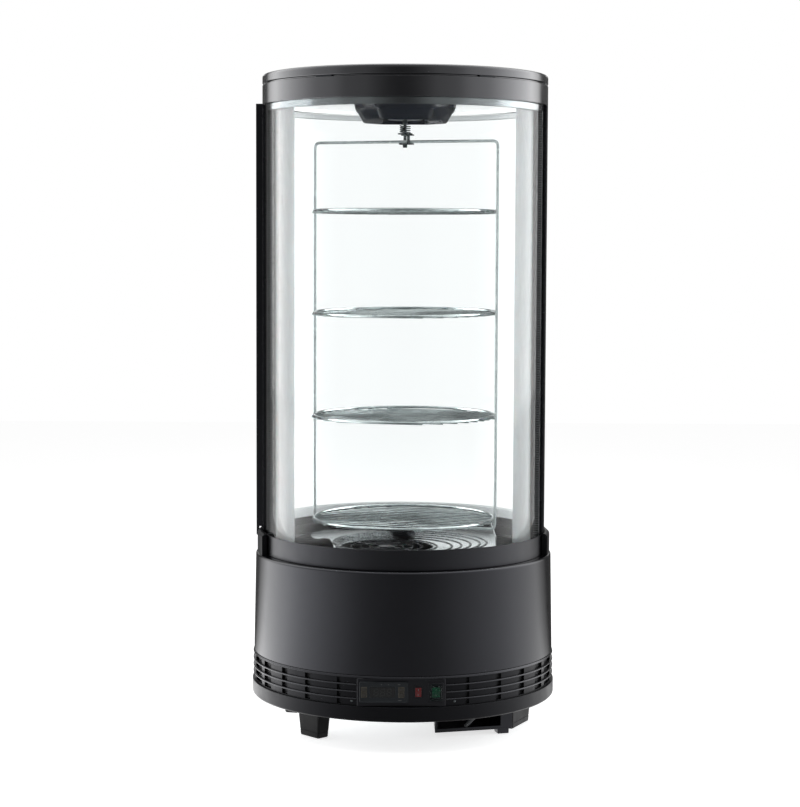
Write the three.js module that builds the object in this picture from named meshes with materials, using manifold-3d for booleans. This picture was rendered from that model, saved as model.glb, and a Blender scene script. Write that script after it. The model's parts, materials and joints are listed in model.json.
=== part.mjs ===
// Revolving glass display cabinet: a round countertop fridge with a turning wire rack.
// Sizes are in millimetres. X runs to the right seen from the front, Y to the rear and Z up.
// The origin is the centre of the base on the surface that the feet stand on.
// An azimuth is an angle in degrees from the front (-Y), positive towards the right (+X).

import * as THREE from 'three';
import { mergeVertices } from 'three/addons/utils/BufferGeometryUtils.js';
import Module from 'manifold-3d';

const wasm = await Module();
wasm.setup();

// Heights of the stacked sections, from the floor to the top
const footHeight = 52;
const bandHeight = 74;
const housingHeight = 167.7;
const glassSectionHeight = 755;
const topRingHeight = 33;
const lidGrooveHeight = 3;
const lidHeight = 15;

// Clearances shared by the whole object
const seatGap = 0.3;
const glazingGap = 0.9;
const overrun = 1;
const weldTolerance = 1e-4;

// Levels worked out from the sections
const bandBottom = footHeight;
const bandTop = bandBottom + bandHeight;
const housingBottom = bandTop + seatGap;
const ledgeLevel = housingBottom + housingHeight;
const ringBottom = ledgeLevel + glassSectionHeight;
const ringTop = ringBottom + topRingHeight;
const lidBottom = ringTop + lidGrooveHeight;
const lidTop = lidBottom + lidHeight;

// How finely round pieces are divided
const roundSteps = 48;
const smallRoundSteps = 14;
const arcStepDegrees = 360 / roundSteps;

// Double glazing, shared by the fixed front and the rear door
const paneThickness = 4;
const paneGap = 8;
const outerPaneRadius = 237.5;
const innerPaneOuterRadius = outerPaneRadius - paneThickness - paneGap;
const innerPaneRadius = innerPaneOuterRadius - paneThickness;
const frameLip = 3.5;
const frameInset = 2;
const frameOuterRadius = outerPaneRadius + frameLip;
const frameInnerRadius = innerPaneRadius - frameInset;

// Radii of the base, stepping outwards from the glass section
const ledgeStep = 11.5;
const housingFlare = 3.2;
const skirtProud = 2.8;
const housingTopRadius = frameOuterRadius + ledgeStep;
const housingBottomRadius = housingTopRadius + housingFlare;
const skirtRadius = housingBottomRadius + skirtProud;

// Azimuths where the fixed glazing, the pillars and the door begin and end
const glazingLeftAzimuth = -83;
const glazingRightAzimuth = 78;
const pillarLeftAzimuth = -93.7;
const pillarRightAzimuth = 89.6;
const hingeAzimuth = 91;
const doorLatchAzimuth = 266;
const slitDegrees = 0.3;

// Rack, turned on the spot where it came to rest
const rackTurnDegrees = -17.5;
const wireRadius = 2.5;
const rackInset = 57.5;
const uprightRadius = frameInnerRadius - rackInset;

const finishes = {
  blackPlastic: { color: 0x15151a, roughness: 0.35, metalness: 0 },
  satinBlack: { color: 0x1b1b20, roughness: 0.5, metalness: 0 },
  blackMetal: { color: 0x101013, roughness: 0.3, metalness: 0.6 },
  glass: { color: 0xeaf4f3, roughness: 0.03, metalness: 0 },
  clearPlastic: { color: 0xdfe6e6, roughness: 0.15, metalness: 0 },
  diffuser: { color: 0xf1f3f4, roughness: 0.5, metalness: 0 },
  whitePanel: { color: 0xf4f6f6, roughness: 0.4, metalness: 0 },
  aluminium: { color: 0xb7bdbf, roughness: 0.4, metalness: 1 },
  stainless: { color: 0xd2d5d6, roughness: 0.12, metalness: 1 },
  chromeWire: { color: 0xc9cdd0, roughness: 0.15, metalness: 1 },
  zincSteel: { color: 0x8f9496, roughness: 0.45, metalness: 0.9 },
  copper: { color: 0xb66a40, roughness: 0.35, metalness: 1 },
  slateBezel: { color: 0x464e54, roughness: 0.5, metalness: 0 },
  displayBlack: { color: 0x07080a, roughness: 0.1, metalness: 0 },
  beigeButton: { color: 0xa79d84, roughness: 0.6, metalness: 0 },
  redLens: { color: 0x963232, roughness: 0.3, metalness: 0 },
  greenLens: { color: 0x006e3c, roughness: 0.25, metalness: 0 },
  greyHose: { color: 0x9a9c9e, roughness: 0.6, metalness: 0 },
  foam: { color: 0xd8d8d2, roughness: 0.9, metalness: 0 },
};

// Door hinge: pins on the right stile turn in bores in the top ring and the rear sill
const hingeNose = 5;
const hingeRadius = frameOuterRadius - hingeNose;
const hingePinRadius = 2.5;
const hingePinLength = 6;
const hingeSteps = 12;
const doorGap = 2.5;

const radians = THREE.MathUtils.degToRad;

// Solids

function toSolid(geometry) {
  const bare = geometry.clone();
  bare.deleteAttribute('normal');
  bare.deleteAttribute('uv');
  const merged = mergeVertices(bare, weldTolerance);
  return new wasm.Manifold(new wasm.Mesh({
    numProp: 3,
    vertProperties: new Float32Array(merged.attributes.position.array),
    triVerts: new Uint32Array(merged.index.array),
  }));
}

function toGeometry(solid) {
  const mesh = solid.getMesh();
  const geometry = new THREE.BufferGeometry();
  geometry.setAttribute('position', new THREE.BufferAttribute(new Float32Array(mesh.vertProperties), 3));
  geometry.setIndex(new THREE.BufferAttribute(new Uint32Array(mesh.triVerts), 1));
  geometry.computeVertexNormals();
  return geometry;
}

const join = (first, ...rest) => rest.reduce((sum, solid) => sum.add(solid), first);
const cut = (first, ...rest) => rest.reduce((sum, solid) => sum.subtract(solid), first);

// A solid of revolution about Z. The profile is a list of [radius, height], closed on itself
// or on the axis, in either order.
function revolve(profile, steps = roundSteps) {
  const area = profile.reduce((sum, [r, z], i) => {
    const [nextR, nextZ] = profile[(i + 1) % profile.length];
    return sum + r * nextZ - nextR * z;
  }, 0);
  const ordered = area > 0 ? [...profile] : [...profile].reverse();
  const closesOnAxis = ordered[0][0] === 0 && ordered[ordered.length - 1][0] === 0;
  if (!closesOnAxis) ordered.push(ordered[0]);
  const geometry = new THREE.LatheGeometry(ordered.map(([r, z]) => new THREE.Vector2(r, z)), steps);
  return toSolid(geometry.rotateX(Math.PI / 2));
}

function onCircle(radius, azimuth) {
  const angle = radians(azimuth);
  return new THREE.Vector2(radius * Math.sin(angle), -radius * Math.cos(angle));
}

// Points along an arc: its two ends, and between them the azimuths that revolved pieces share
function arcPoints(radius, fromAzimuth, toAzimuth) {
  const low = Math.min(fromAzimuth, toAzimuth);
  const high = Math.max(fromAzimuth, toAzimuth);
  const azimuths = [low];
  for (let k = Math.ceil(low / arcStepDegrees); k * arcStepDegrees < high; k++) {
    if (k * arcStepDegrees > low) azimuths.push(k * arcStepDegrees);
  }
  azimuths.push(high);
  if (fromAzimuth > toAzimuth) azimuths.reverse();
  return azimuths.map((azimuth) => onCircle(radius, azimuth));
}

// A plan outline pushed up from one level to another
function prism(outline, low, high) {
  const geometry = new THREE.ExtrudeGeometry(new THREE.Shape(outline), {
    depth: high - low, bevelEnabled: false, steps: 1,
  });
  return toSolid(geometry.translate(0, 0, low));
}

// A curved block between two radii, two azimuths and two levels
function sector(inner, outer, fromAzimuth, toAzimuth, low, high) {
  const outline = [
    ...arcPoints(outer, fromAzimuth, toAzimuth),
    ...arcPoints(inner, toAzimuth, fromAzimuth),
  ];
  return prism(outline, low, high);
}

// A box given by its middle in plan and its low and high levels
function block(width, depth, low, high, x = 0, y = 0) {
  const geometry = new THREE.BoxGeometry(width, depth, high - low);
  return toSolid(geometry.translate(x, y, (low + high) / 2));
}

// An upright cylinder or cone, given by its lower and upper radius
function column(lowRadius, highRadius, low, high, x = 0, y = 0, steps = smallRoundSteps) {
  const geometry = new THREE.CylinderGeometry(highRadius, lowRadius, high - low, steps);
  return toSolid(geometry.rotateX(Math.PI / 2).translate(x, y, (low + high) / 2));
}

// A round bar along Y between two depths
function barAlongY(radius, front, rear, x, z, steps = smallRoundSteps) {
  const geometry = new THREE.CylinderGeometry(radius, radius, rear - front, steps);
  return toSolid(geometry.translate(x, (front + rear) / 2, z));
}

// A solid through outlines at rising levels, each outline with the same number of points
function loft(outlines, levels) {
  const count = outlines[0].length;
  const positions = [];
  outlines.forEach((outline, level) => {
    outline.forEach((point) => positions.push(point.x, point.y, levels[level]));
  });
  const faces = [];
  for (let level = 0; level + 1 < outlines.length; level++) {
    for (let i = 0; i < count; i++) {
      const a = level * count + i;
      const b = level * count + (i + 1) % count;
      faces.push(a, b, b + count, a, b + count, a + count);
    }
  }
  const top = (outlines.length - 1) * count;
  for (let i = 1; i + 1 < count; i++) {
    faces.push(0, i + 1, i);
    faces.push(top, top + i, top + i + 1);
  }
  const geometry = new THREE.BufferGeometry();
  geometry.setAttribute('position', new THREE.BufferAttribute(new Float32Array(positions), 3));
  geometry.setIndex(faces);
  return toSolid(geometry);
}

// A square outline with cut corners, counter-clockwise seen from above
function chamferedSquare(halfWidth, chamfer) {
  const flat = halfWidth - chamfer;
  return [
    [halfWidth, -flat], [halfWidth, flat], [flat, halfWidth], [-flat, halfWidth],
    [-halfWidth, flat], [-halfWidth, -flat], [-flat, -halfWidth], [flat, -halfWidth],
  ].map(([x, y]) => new THREE.Vector2(x, y));
}

function chamferedRectangle(width, depth, chamfer) {
  const x = width / 2;
  const y = depth / 2;
  return [
    [x, -y + chamfer], [x, y - chamfer], [x - chamfer, y], [-x + chamfer, y],
    [-x, y - chamfer], [-x, -y + chamfer], [-x + chamfer, -y], [x - chamfer, -y],
  ].map(([px, py]) => new THREE.Vector2(px, py));
}

function circleOutline(radius, sides) {
  return Array.from({ length: sides }, (_, i) => {
    const angle = 2 * Math.PI * i / sides;
    return new THREE.Vector2(radius * Math.cos(angle), radius * Math.sin(angle));
  });
}

// A tube along a curve
function tube(curve, radius, sides, steps) {
  const section = new THREE.Shape(circleOutline(radius, sides));
  const geometry = new THREE.ExtrudeGeometry(section, { steps, extrudePath: curve, bevelEnabled: false });
  return toSolid(geometry);
}

function turned(solid, degrees) {
  return solid.rotate([0, 0, degrees]);
}

const hingePlace = onCircle(hingeRadius, hingeAzimuth);

// The bore for one hinge pin, with its open end at a level and running away from the door
function hingeBore(level, direction) {
  const end = level + direction * (hingePinLength + seatGap);
  const start = level - direction * overrun;
  const boreRadius = hingePinRadius + seatGap;
  return column(boreRadius, boreRadius, Math.min(start, end), Math.max(start, end),
    hingePlace.x, hingePlace.y, hingeSteps);
}

// The scene graph

const cabinet = new THREE.Group();

function addPart(name, solid, finish, parent = cabinet) {
  const material = new THREE.MeshStandardMaterial({ ...finishes[finish], name: finish });
  const mesh = new THREE.Mesh(toGeometry(solid), material);
  mesh.name = name;
  parent.add(mesh);
  return mesh;
}

// Feet: tapered slabs moulded in hard rubber

const footWidthShare = 0.2166;
const footThicknessShare = 0.1083;
const footRingShare = 0.7613;
const longFootWidthShare = 0.3165;
const longFootThicknessShare = 0.0696;
const longFootRingShare = 0.7756;
const footTaper = 5;
const footChamfer = 4;
const plainFoot = { widthShare: footWidthShare, thicknessShare: footThicknessShare, ringShare: footRingShare };
const longFoot = {
  widthShare: longFootWidthShare, thicknessShare: longFootThicknessShare, ringShare: longFootRingShare,
};
const footPlaces = [
  { name: 'foot_front_left', azimuth: -48.5, facing: -47, form: plainFoot },
  { name: 'foot_front_right', azimuth: 77.2, facing: 63.8, form: longFoot },
  { name: 'foot_rear_right', azimuth: 130, facing: 130, form: plainFoot },
  { name: 'foot_rear_left', azimuth: -107, facing: -107, form: plainFoot },
];

function makeFoot({ widthShare, thicknessShare }) {
  const width = skirtRadius * widthShare;
  const thickness = skirtRadius * thicknessShare;
  const ground = chamferedRectangle(width - 2 * footTaper, thickness - footTaper, footChamfer);
  const top = chamferedRectangle(width, thickness, footChamfer);
  return loft([ground, top], [0, footHeight]);
}

for (const { name, azimuth, facing, form } of footPlaces) {
  const foot = addPart(name, makeFoot(form), 'satinBlack');
  const place = onCircle(skirtRadius * form.ringShare, azimuth);
  foot.position.set(place.x, place.y, 0);
  foot.rotation.z = radians(facing);
}

// Louvred vent band: skirt, recessed wall with openings, three ribs and a shoulder

const skirtHeight = 24.5;
const skirtEdge = 2.5;
const louvreRecess = 4.5;
const bandWallRadius = skirtRadius - louvreRecess;
const bandWallThickness = 3;
const shoulderInset = 1.1;
const shoulderRadius = skirtRadius - shoulderInset;
const shoulderHeight = 3.5;
const shoulderEdge = 1.4;
const ribCount = 3;
const ribHeight = 3.2;
const ribProud = 3.4;
const ribRadius = bandWallRadius + ribProud;
const spigotHeight = 6;
const spigotThickness = 2.5;
const bandFlangeWidth = 10;
const bandFlangeThickness = 2.5;

const chassisThickness = 2.5;
const chassisBottom = footHeight + seatGap;
const chassisTop = chassisBottom + chassisThickness;
const bandInnerRadius = bandWallRadius - bandWallThickness;
const ventBottom = bandBottom + skirtHeight;
const ventTop = bandTop - shoulderHeight;
const rowPitch = (ventTop - ventBottom) / (ribCount + 1);

// Housing values that the band's spigot fits into
const housingWall = 3.5;
const spigotRadius = housingBottomRadius - housingWall - seatGap;

// Openings in the band are cut straight along Y, so they look wider towards the sides
const ventWindowWidth = 9;
const ventWindows = [
  { azimuth: 24.1, share: 0.67 },
  { azimuth: 37.7, share: 1 },
  { azimuth: 50.1, share: 1.06 },
  { azimuth: 62.7, share: 1.4 },
  { azimuth: 73.5, share: 1.4 },
];
const rearWindowCount = 4;
const rearWindowWidthShare = 0.2047;
const rearWindowPitchShare = 0.2362;
const rearWindowWidth = bandWallRadius * rearWindowWidthShare;
const rearWindowPitch = bandWallRadius * rearWindowPitchShare;

// Control panel, let into the front of the band
const panelCentreX = -3;
const thermostatWidth = 78.5;
const thermostatHeight = 34.5;
const smallSwitchWidth = 14;
const smallSwitchHeight = 19.5;
const largeSwitchWidth = 25;
const largeSwitchHeight = 31;
const panelLeftMargin = 3.95;
const thermostatToSwitch = 9.05;
const switchToSwitch = 8.8;
const panelRightMargin = 2.7;
const panelWidth = panelLeftMargin + thermostatWidth + thermostatToSwitch + smallSwitchWidth
  + switchToSwitch + largeSwitchWidth + panelRightMargin;
const panelRecess = 5;
const panelFaceY = panelRecess - bandWallRadius;
const panelDepth = 14;
const panelWall = 3;
const panelBottom = ventBottom + seatGap;
const panelTop = ventTop - seatGap;

function makeVentBand() {
  const ribs = [];
  for (let i = 1; i <= ribCount; i++) {
    const z = ventBottom + i * rowPitch;
    ribs.push([bandWallRadius, z - ribHeight / 2], [ribRadius, z], [bandWallRadius, z + ribHeight / 2]);
  }
  const flangeBottom = chassisTop + seatGap;
  const band = revolve([
    [skirtRadius - skirtEdge, bandBottom],
    [skirtRadius, bandBottom + skirtEdge],
    [skirtRadius, ventBottom],
    [bandWallRadius, ventBottom],
    ...ribs,
    [bandWallRadius, ventTop],
    [shoulderRadius, ventTop],
    [shoulderRadius - shoulderEdge, bandTop],
    [spigotRadius, bandTop],
    [spigotRadius, bandTop + spigotHeight],
    [spigotRadius - spigotThickness, bandTop + spigotHeight],
    [bandInnerRadius, flangeBottom + bandFlangeThickness],
    [bandInnerRadius - bandFlangeWidth, flangeBottom + bandFlangeThickness],
    [bandInnerRadius - bandFlangeWidth, flangeBottom],
    [bandInnerRadius, flangeBottom],
    [bandInnerRadius, bandBottom],
  ]);
  const cutters = [];
  const windowHeight = rowPitch - ribHeight;
  for (let row = 0; row <= ribCount; row++) {
    const middle = ventBottom + (row + 0.5) * rowPitch;
    const low = middle - windowHeight / 2;
    const high = middle + windowHeight / 2;
    for (const { azimuth, share } of ventWindows) {
      const { x } = onCircle(bandWallRadius, azimuth);
      const width = ventWindowWidth * share;
      cutters.push(block(width, skirtRadius, low, high, x, -skirtRadius / 2));
      cutters.push(block(width, skirtRadius, low, high, -x, -skirtRadius / 2));
    }
    for (let i = 0; i < rearWindowCount; i++) {
      const x = (i - (rearWindowCount - 1) / 2) * rearWindowPitch;
      cutters.push(block(rearWindowWidth, skirtRadius, low, high, x, skirtRadius));
    }
  }
  const panelCut = block(
    panelWidth + 2 * seatGap, skirtRadius, panelBottom - seatGap, panelTop + seatGap,
    panelCentreX, -skirtRadius,
  );
  return cut(band, panelCut, ...cutters);
}

addPart('vent_band', makeVentBand(), 'satinBlack');

// Chassis plate under the machine room, with the hose hole and air slots at the rear

const hoseRadius = 3.7;
const hoseHoleClearance = 3;
const trayFrontXShare = 0.4576;
const trayFrontYShare = -0.4824;
const trayFront = { x: skirtRadius * trayFrontXShare, y: skirtRadius * trayFrontYShare };
const hoseDropSetback = 8.8;
const hoseDropShift = 4;
const hoseDrop = { x: trayFront.x + hoseDropShift, y: trayFront.y + hoseDropSetback };
const chassisSlotCount = 5;
const chassisSlotLength = 90;
const chassisSlotWidth = 6;
const chassisSlotPitch = 14;
const chassisSlotsY = 120;

function makeChassisPlate() {
  const plate = column(
    bandInnerRadius - seatGap, bandInnerRadius - seatGap, chassisBottom, chassisTop, 0, 0, roundSteps,
  );
  const cutters = [column(
    hoseRadius + hoseHoleClearance, hoseRadius + hoseHoleClearance,
    chassisBottom - overrun, chassisTop + overrun, hoseDrop.x, hoseDrop.y,
  )];
  for (let i = 0; i < chassisSlotCount; i++) {
    const y = chassisSlotsY + i * chassisSlotPitch;
    cutters.push(block(
      chassisSlotLength, chassisSlotWidth, chassisBottom - overrun, chassisTop + overrun, 0, y,
    ));
  }
  return cut(plate, ...cutters);
}

addPart('chassis_plate', makeChassisPlate(), 'zincSteel');

// Control panel with its three instruments

const instrumentRise = 0.5;
const instrumentLevel = (panelBottom + panelTop) / 2 + instrumentRise;
const panelLeft = panelCentreX - panelWidth / 2;
const thermostatX = panelLeft + panelLeftMargin + thermostatWidth / 2;
const thermostatProud = 3;
const bezelSideLip = 4;
const bezelTopLip = 3;
const thermostatBodyWidth = thermostatWidth - 2 * bezelSideLip;
const thermostatBodyHeight = thermostatHeight - 2 * bezelTopLip;
const thermostatDepth = 58;
const lightSwitchX = thermostatX + thermostatWidth / 2 + thermostatToSwitch + smallSwitchWidth / 2;
const powerSwitchX = lightSwitchX + smallSwitchWidth / 2 + switchToSwitch + largeSwitchWidth / 2;
const smallRockerShares = { width: 0.714, height: 0.769 };
const largeRockerShares = { width: 0.5, height: 0.548 };
const lightSwitch = {
  x: lightSwitchX,
  frameWidth: smallSwitchWidth,
  frameHeight: smallSwitchHeight,
  rockerWidth: smallSwitchWidth * smallRockerShares.width,
  rockerHeight: smallSwitchHeight * smallRockerShares.height,
};
const powerSwitch = {
  x: powerSwitchX,
  frameWidth: largeSwitchWidth,
  frameHeight: largeSwitchHeight,
  rockerWidth: largeSwitchWidth * largeRockerShares.width,
  rockerHeight: largeSwitchHeight * largeRockerShares.height,
};
const switchProud = 1.6;
const switchDepth = 16;
const switchInset = 1.5;
const rockerThickness = 5;
const rockerCrest = 1.2;
const rockerSwingRoom = 0.8;

// A block on the panel, given by its middle X and level and by how far it reaches
// forwards and backwards of the panel's face
function panelBlock(width, height, forward, backward, x, z) {
  const depth = forward + backward;
  return block(width, depth, z - height / 2, z + height / 2, x, panelFaceY + (backward - forward) / 2);
}

function makeControlPanel() {
  const height = panelTop - panelBottom;
  const middle = (panelTop + panelBottom) / 2;
  const shell = cut(
    panelBlock(panelWidth, height, 0, panelDepth, panelCentreX, middle),
    panelBlock(panelWidth - 2 * panelWall, height - 2 * panelWall, -panelWall, panelDepth + overrun,
      panelCentreX, middle),
  );
  const holes = [panelBlock(thermostatBodyWidth + 2 * seatGap, thermostatBodyHeight + 2 * seatGap,
    overrun, panelDepth, thermostatX, instrumentLevel)];
  for (const { x, frameWidth, frameHeight } of [lightSwitch, powerSwitch]) {
    const width = frameWidth - 2 * switchInset + 2 * seatGap;
    const opening = frameHeight - 2 * switchInset + 2 * seatGap;
    holes.push(panelBlock(width, opening, overrun, panelDepth, x, instrumentLevel));
  }
  return cut(shell, ...holes);
}

addPart('control_panel', makeControlPanel(), 'blackPlastic');

// Thermostat: bezel and body in one moulding, a window, and four push buttons

const displayWidthShare = 0.51;
const displayHeightShare = 0.493;
const buttonReachShare = 0.382;
const displayWidth = thermostatWidth * displayWidthShare;
const displayHeight = thermostatHeight * displayHeightShare;
const displayThickness = 1;
const displayRecess = 0.4;
const displayShift = -2;
const buttonWidth = 7;
const buttonHeight = 6;
const buttonSpacing = 9;
const buttonReach = thermostatWidth * buttonReachShare;
const buttonProud = 0.8;
const buttonDepth = 4;
const buttonTravel = 0.8;

function makeThermostat() {
  const faceForward = thermostatProud;
  const bezel = panelBlock(thermostatWidth, thermostatHeight, faceForward, -seatGap,
    thermostatX, instrumentLevel);
  const body = panelBlock(thermostatBodyWidth, thermostatBodyHeight, faceForward - overrun, thermostatDepth,
    thermostatX, instrumentLevel);
  const displayPocket = panelBlock(displayWidth + 2 * seatGap, displayHeight + 2 * seatGap,
    faceForward + overrun, displayRecess + displayThickness + seatGap - faceForward,
    thermostatX + displayShift, instrumentLevel);
  const buttonPockets = buttonPlaces().map(({ x, z }) => panelBlock(
    buttonWidth + 2 * seatGap, buttonHeight + 2 * seatGap,
    faceForward + overrun, buttonDepth + buttonTravel + seatGap - faceForward, x, z));
  return cut(join(bezel, body), displayPocket, ...buttonPockets);
}

function buttonPlaces() {
  const places = [];
  for (const side of [-1, 1]) {
    for (const row of [1, -1]) {
      places.push({
        x: thermostatX + displayShift + side * buttonReach,
        z: instrumentLevel + row * buttonSpacing / 2,
      });
    }
  }
  return places;
}

addPart('thermostat_housing', makeThermostat(), 'slateBezel');
addPart('display_window', panelBlock(displayWidth, displayHeight,
  thermostatProud - displayRecess, displayRecess + displayThickness - thermostatProud,
  thermostatX + displayShift, instrumentLevel), 'displayBlack');
buttonPlaces().forEach(({ x, z }, i) => {
  const button = panelBlock(buttonWidth, buttonHeight,
    thermostatProud + buttonProud, buttonDepth - thermostatProud, x, z);
  addPart(`thermostat_button_${i + 1}`, button, 'beigeButton');
});

// Rocker switches: a frame with its body behind the panel, and a rocker that tips in it

function makeSwitchFrame({ x, frameWidth, frameHeight, rockerWidth, rockerHeight }) {
  const rim = panelBlock(frameWidth, frameHeight, switchProud, -seatGap, x, instrumentLevel);
  const body = panelBlock(frameWidth - 2 * switchInset, frameHeight - 2 * switchInset,
    switchProud - overrun, switchDepth, x, instrumentLevel);
  const pocket = panelBlock(rockerWidth + 2 * seatGap, rockerHeight + 2 * rockerSwingRoom,
    switchProud + overrun, rockerThickness, x, instrumentLevel);
  return cut(join(rim, body), pocket);
}

// The rocker's face is a shallow V with its crest in the middle
function makeRocker({ x, rockerWidth, rockerHeight }) {
  const half = rockerHeight / 2;
  const back = rockerThickness / 2;
  const outline = new THREE.Shape([
    [-half, -back], [half, -back], [half, back], [0, back + rockerCrest], [-half, back],
  ].map(([along, out]) => new THREE.Vector2(along, out)));
  const geometry = new THREE.ExtrudeGeometry(outline, { depth: rockerWidth, bevelEnabled: false });
  geometry.translate(0, 0, -rockerWidth / 2);
  // outline X becomes Z, outline Y becomes -Y, extrusion becomes X
  const placing = new THREE.Matrix4().set(
    0, 0, -1, x,
    0, -1, 0, panelFaceY - switchProud + rockerThickness / 2,
    -1, 0, 0, instrumentLevel,
    0, 0, 0, 1,
  );
  return toSolid(geometry.applyMatrix4(placing));
}

addPart('light_switch_frame', makeSwitchFrame(lightSwitch), 'blackPlastic');
addPart('light_switch_rocker', makeRocker(lightSwitch), 'redLens');
addPart('power_switch_frame', makeSwitchFrame(powerSwitch), 'blackPlastic');
addPart('power_switch_rocker', makeRocker(powerSwitch), 'greenLens');

// Splash hood over the power switch: a soft clear shell open towards the switch

const hoodWall = 1;
const hoodRise = 7;
const hoodMargin = 2.5;

function makeSwitchHood() {
  const { x, frameWidth, frameHeight } = powerSwitch;
  const width = frameWidth - 2 * hoodMargin;
  const height = frameHeight - 2 * hoodMargin;
  const foot = switchProud + seatGap;
  return cut(
    panelBlock(width, height, foot + hoodRise, -foot, x, instrumentLevel),
    panelBlock(width - 2 * hoodWall, height - 2 * hoodWall, foot + hoodRise - hoodWall, overrun,
      x, instrumentLevel),
  );
}

addPart('switch_hood', makeSwitchHood(), 'clearPlastic');

// Base housing: a tapered drum with a ledge that carries the glass section

const housingEdge = 2.5;
const ledgeThickness = 4;
const tubInset = 16.5;
const tubRadius = frameInnerRadius - tubInset;
const ledgeOverhang = 2;
const ledgeInnerRadius = tubRadius + ledgeOverhang;

addPart('base_housing', revolve([
  [housingBottomRadius, housingBottom],
  [housingTopRadius, ledgeLevel - housingEdge],
  [housingTopRadius - housingEdge, ledgeLevel],
  [ledgeInnerRadius, ledgeLevel],
  [ledgeInnerRadius, ledgeLevel - ledgeThickness],
  [housingTopRadius - housingWall, ledgeLevel - ledgeThickness],
  [housingBottomRadius - housingWall, housingBottom],
]), 'blackPlastic');

// Machine room: compressor, and condenser with its shroud, motor and fan

const compressorXShare = -0.3785;
const compressorYShare = 0.0598;
const compressorX = bandInnerRadius * compressorXShare;
const compressorY = bandInnerRadius * compressorYShare;
const compressorRadius = 60;
const compressorHeight = 145;
const compressorShoulder = 26;
const compressorCrown = 16;
const compressorBase = { width: 130, depth: 90, thickness: 4 };
const machineFloor = chassisTop + seatGap;

function makeCompressor() {
  const low = machineFloor + compressorBase.thickness - overrun;
  const top = machineFloor + compressorHeight;
  const can = revolve([
    [0, low],
    [compressorRadius - compressorCrown, low],
    [compressorRadius, low + compressorShoulder],
    [compressorRadius, top - compressorShoulder],
    [compressorRadius - compressorCrown, top - compressorCrown / 2],
    [0, top],
  ], smallRoundSteps).translate([compressorX, compressorY, 0]);
  const plate = block(compressorBase.width, compressorBase.depth, machineFloor,
    machineFloor + compressorBase.thickness, compressorX, compressorY);
  return join(can, plate);
}

addPart('compressor', makeCompressor(), 'blackMetal');

const condenserWidth = 150;
const condenserHeight = 120;
const condenserThickness = 26;
const condenserPlaceShare = 0.6693;
const condenserY = bandInnerRadius * condenserPlaceShare;
const finCount = 12;
const finSlotShare = 0.6;
const finSlotDepth = 10;
const shroudLength = 18;
const shroudWall = 2.5;
const condenserFanRadius = 50;
const fanTipGap = 3;
const fanHubRadius = 16;
const fanHubLength = 14;
const fanBladeCount = 5;
const fanBladeThickness = 1.6;
const fanBladeWidth = 24;
const fanBladePitch = 32;
const fanMotorRadius = 18;
const fanMotorLength = 30;
const motorStrutWidth = 8;
const fanAxisLevel = machineFloor + condenserHeight / 2;
const condenserFront = condenserY - condenserThickness / 2;
const shroudFront = condenserFront - shroudLength;

function makeCondenser() {
  const low = machineFloor;
  const high = machineFloor + condenserHeight;
  const rear = condenserY + condenserThickness / 2;
  const coreBlock = block(condenserWidth, condenserThickness, low, high, 0, condenserY);
  const pitch = condenserWidth / finCount;
  const slots = Array.from({ length: finCount - 1 }, (_, i) => block(
    pitch * finSlotShare, finSlotDepth, low + shroudWall, high + overrun,
    (i + 1 - finCount / 2) * pitch, rear - finSlotDepth / 2 + overrun / 2));
  const plate = block(condenserWidth, shroudLength + overrun, low, high,
    0, (shroudFront + condenserFront + overrun) / 2);
  const throat = barAlongY(condenserFanRadius + fanTipGap, shroudFront - overrun, condenserFront,
    0, fanAxisLevel, smallRoundSteps);
  const motorFront = shroudFront - fanMotorLength;
  const motor = barAlongY(fanMotorRadius, motorFront, shroudFront - seatGap, 0, fanAxisLevel);
  const strutRun = condenserHeight / 2;
  const strut = block(motorStrutWidth, motorStrutWidth, low, low + strutRun, 0, motorFront + motorStrutWidth);
  const sole = block(motorStrutWidth, shroudFront - motorFront + overrun, low, low + motorStrutWidth / 2,
    0, (motorFront + shroudFront + overrun) / 2);
  return join(cut(join(coreBlock, plate), throat, ...slots), motor, strut, sole);
}

// A fan about Z at the origin: a hub with pitched blades
function makeFan(tipRadius) {
  const hub = column(fanHubRadius, fanHubRadius, 0, fanHubLength);
  const bladeSpan = tipRadius - fanHubRadius + overrun;
  const blades = Array.from({ length: fanBladeCount }, (_, i) => {
    const geometry = new THREE.BoxGeometry(bladeSpan, fanBladeWidth, fanBladeThickness);
    geometry.rotateX(radians(fanBladePitch));
    geometry.translate(tipRadius - bladeSpan / 2, 0, fanHubLength / 2);
    geometry.rotateZ(2 * Math.PI * i / fanBladeCount);
    return toSolid(geometry);
  });
  return join(hub, ...blades);
}

addPart('condenser', makeCondenser(), 'copper');
const condenserFan = addPart('condenser_fan', makeFan(condenserFanRadius), 'satinBlack');
condenserFan.position.set(0, shroudFront, fanAxisLevel);
condenserFan.rotation.x = -Math.PI / 2;

// Cold box under the display floor: insulated tub, evaporator and its fan

const tubDepth = 74;
const tubWall = 12;
const coldFloorThickness = 5.7;
const panUnderside = ledgeLevel + seatGap;
const panTop = panUnderside + coldFloorThickness;
const tubTop = panUnderside - seatGap;
const tubBottom = tubTop - tubDepth;
const tubFloor = tubBottom + tubWall;
const evaporatorWidthShare = 1.0837;
const evaporatorThicknessShare = 0.2956;
const evaporatorPlaceShare = 0.4926;
const evaporatorWidth = tubRadius * evaporatorWidthShare;
const evaporatorThickness = tubRadius * evaporatorThicknessShare;
const evaporatorHeight = 50;
const evaporatorY = tubRadius * evaporatorPlaceShare;
const evaporatorFinCount = 14;
const spoutPlaceShare = 0.2956;
const spoutX = hoseDrop.x;
const spoutY = -tubRadius * spoutPlaceShare;
const spoutLength = 8;

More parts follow.
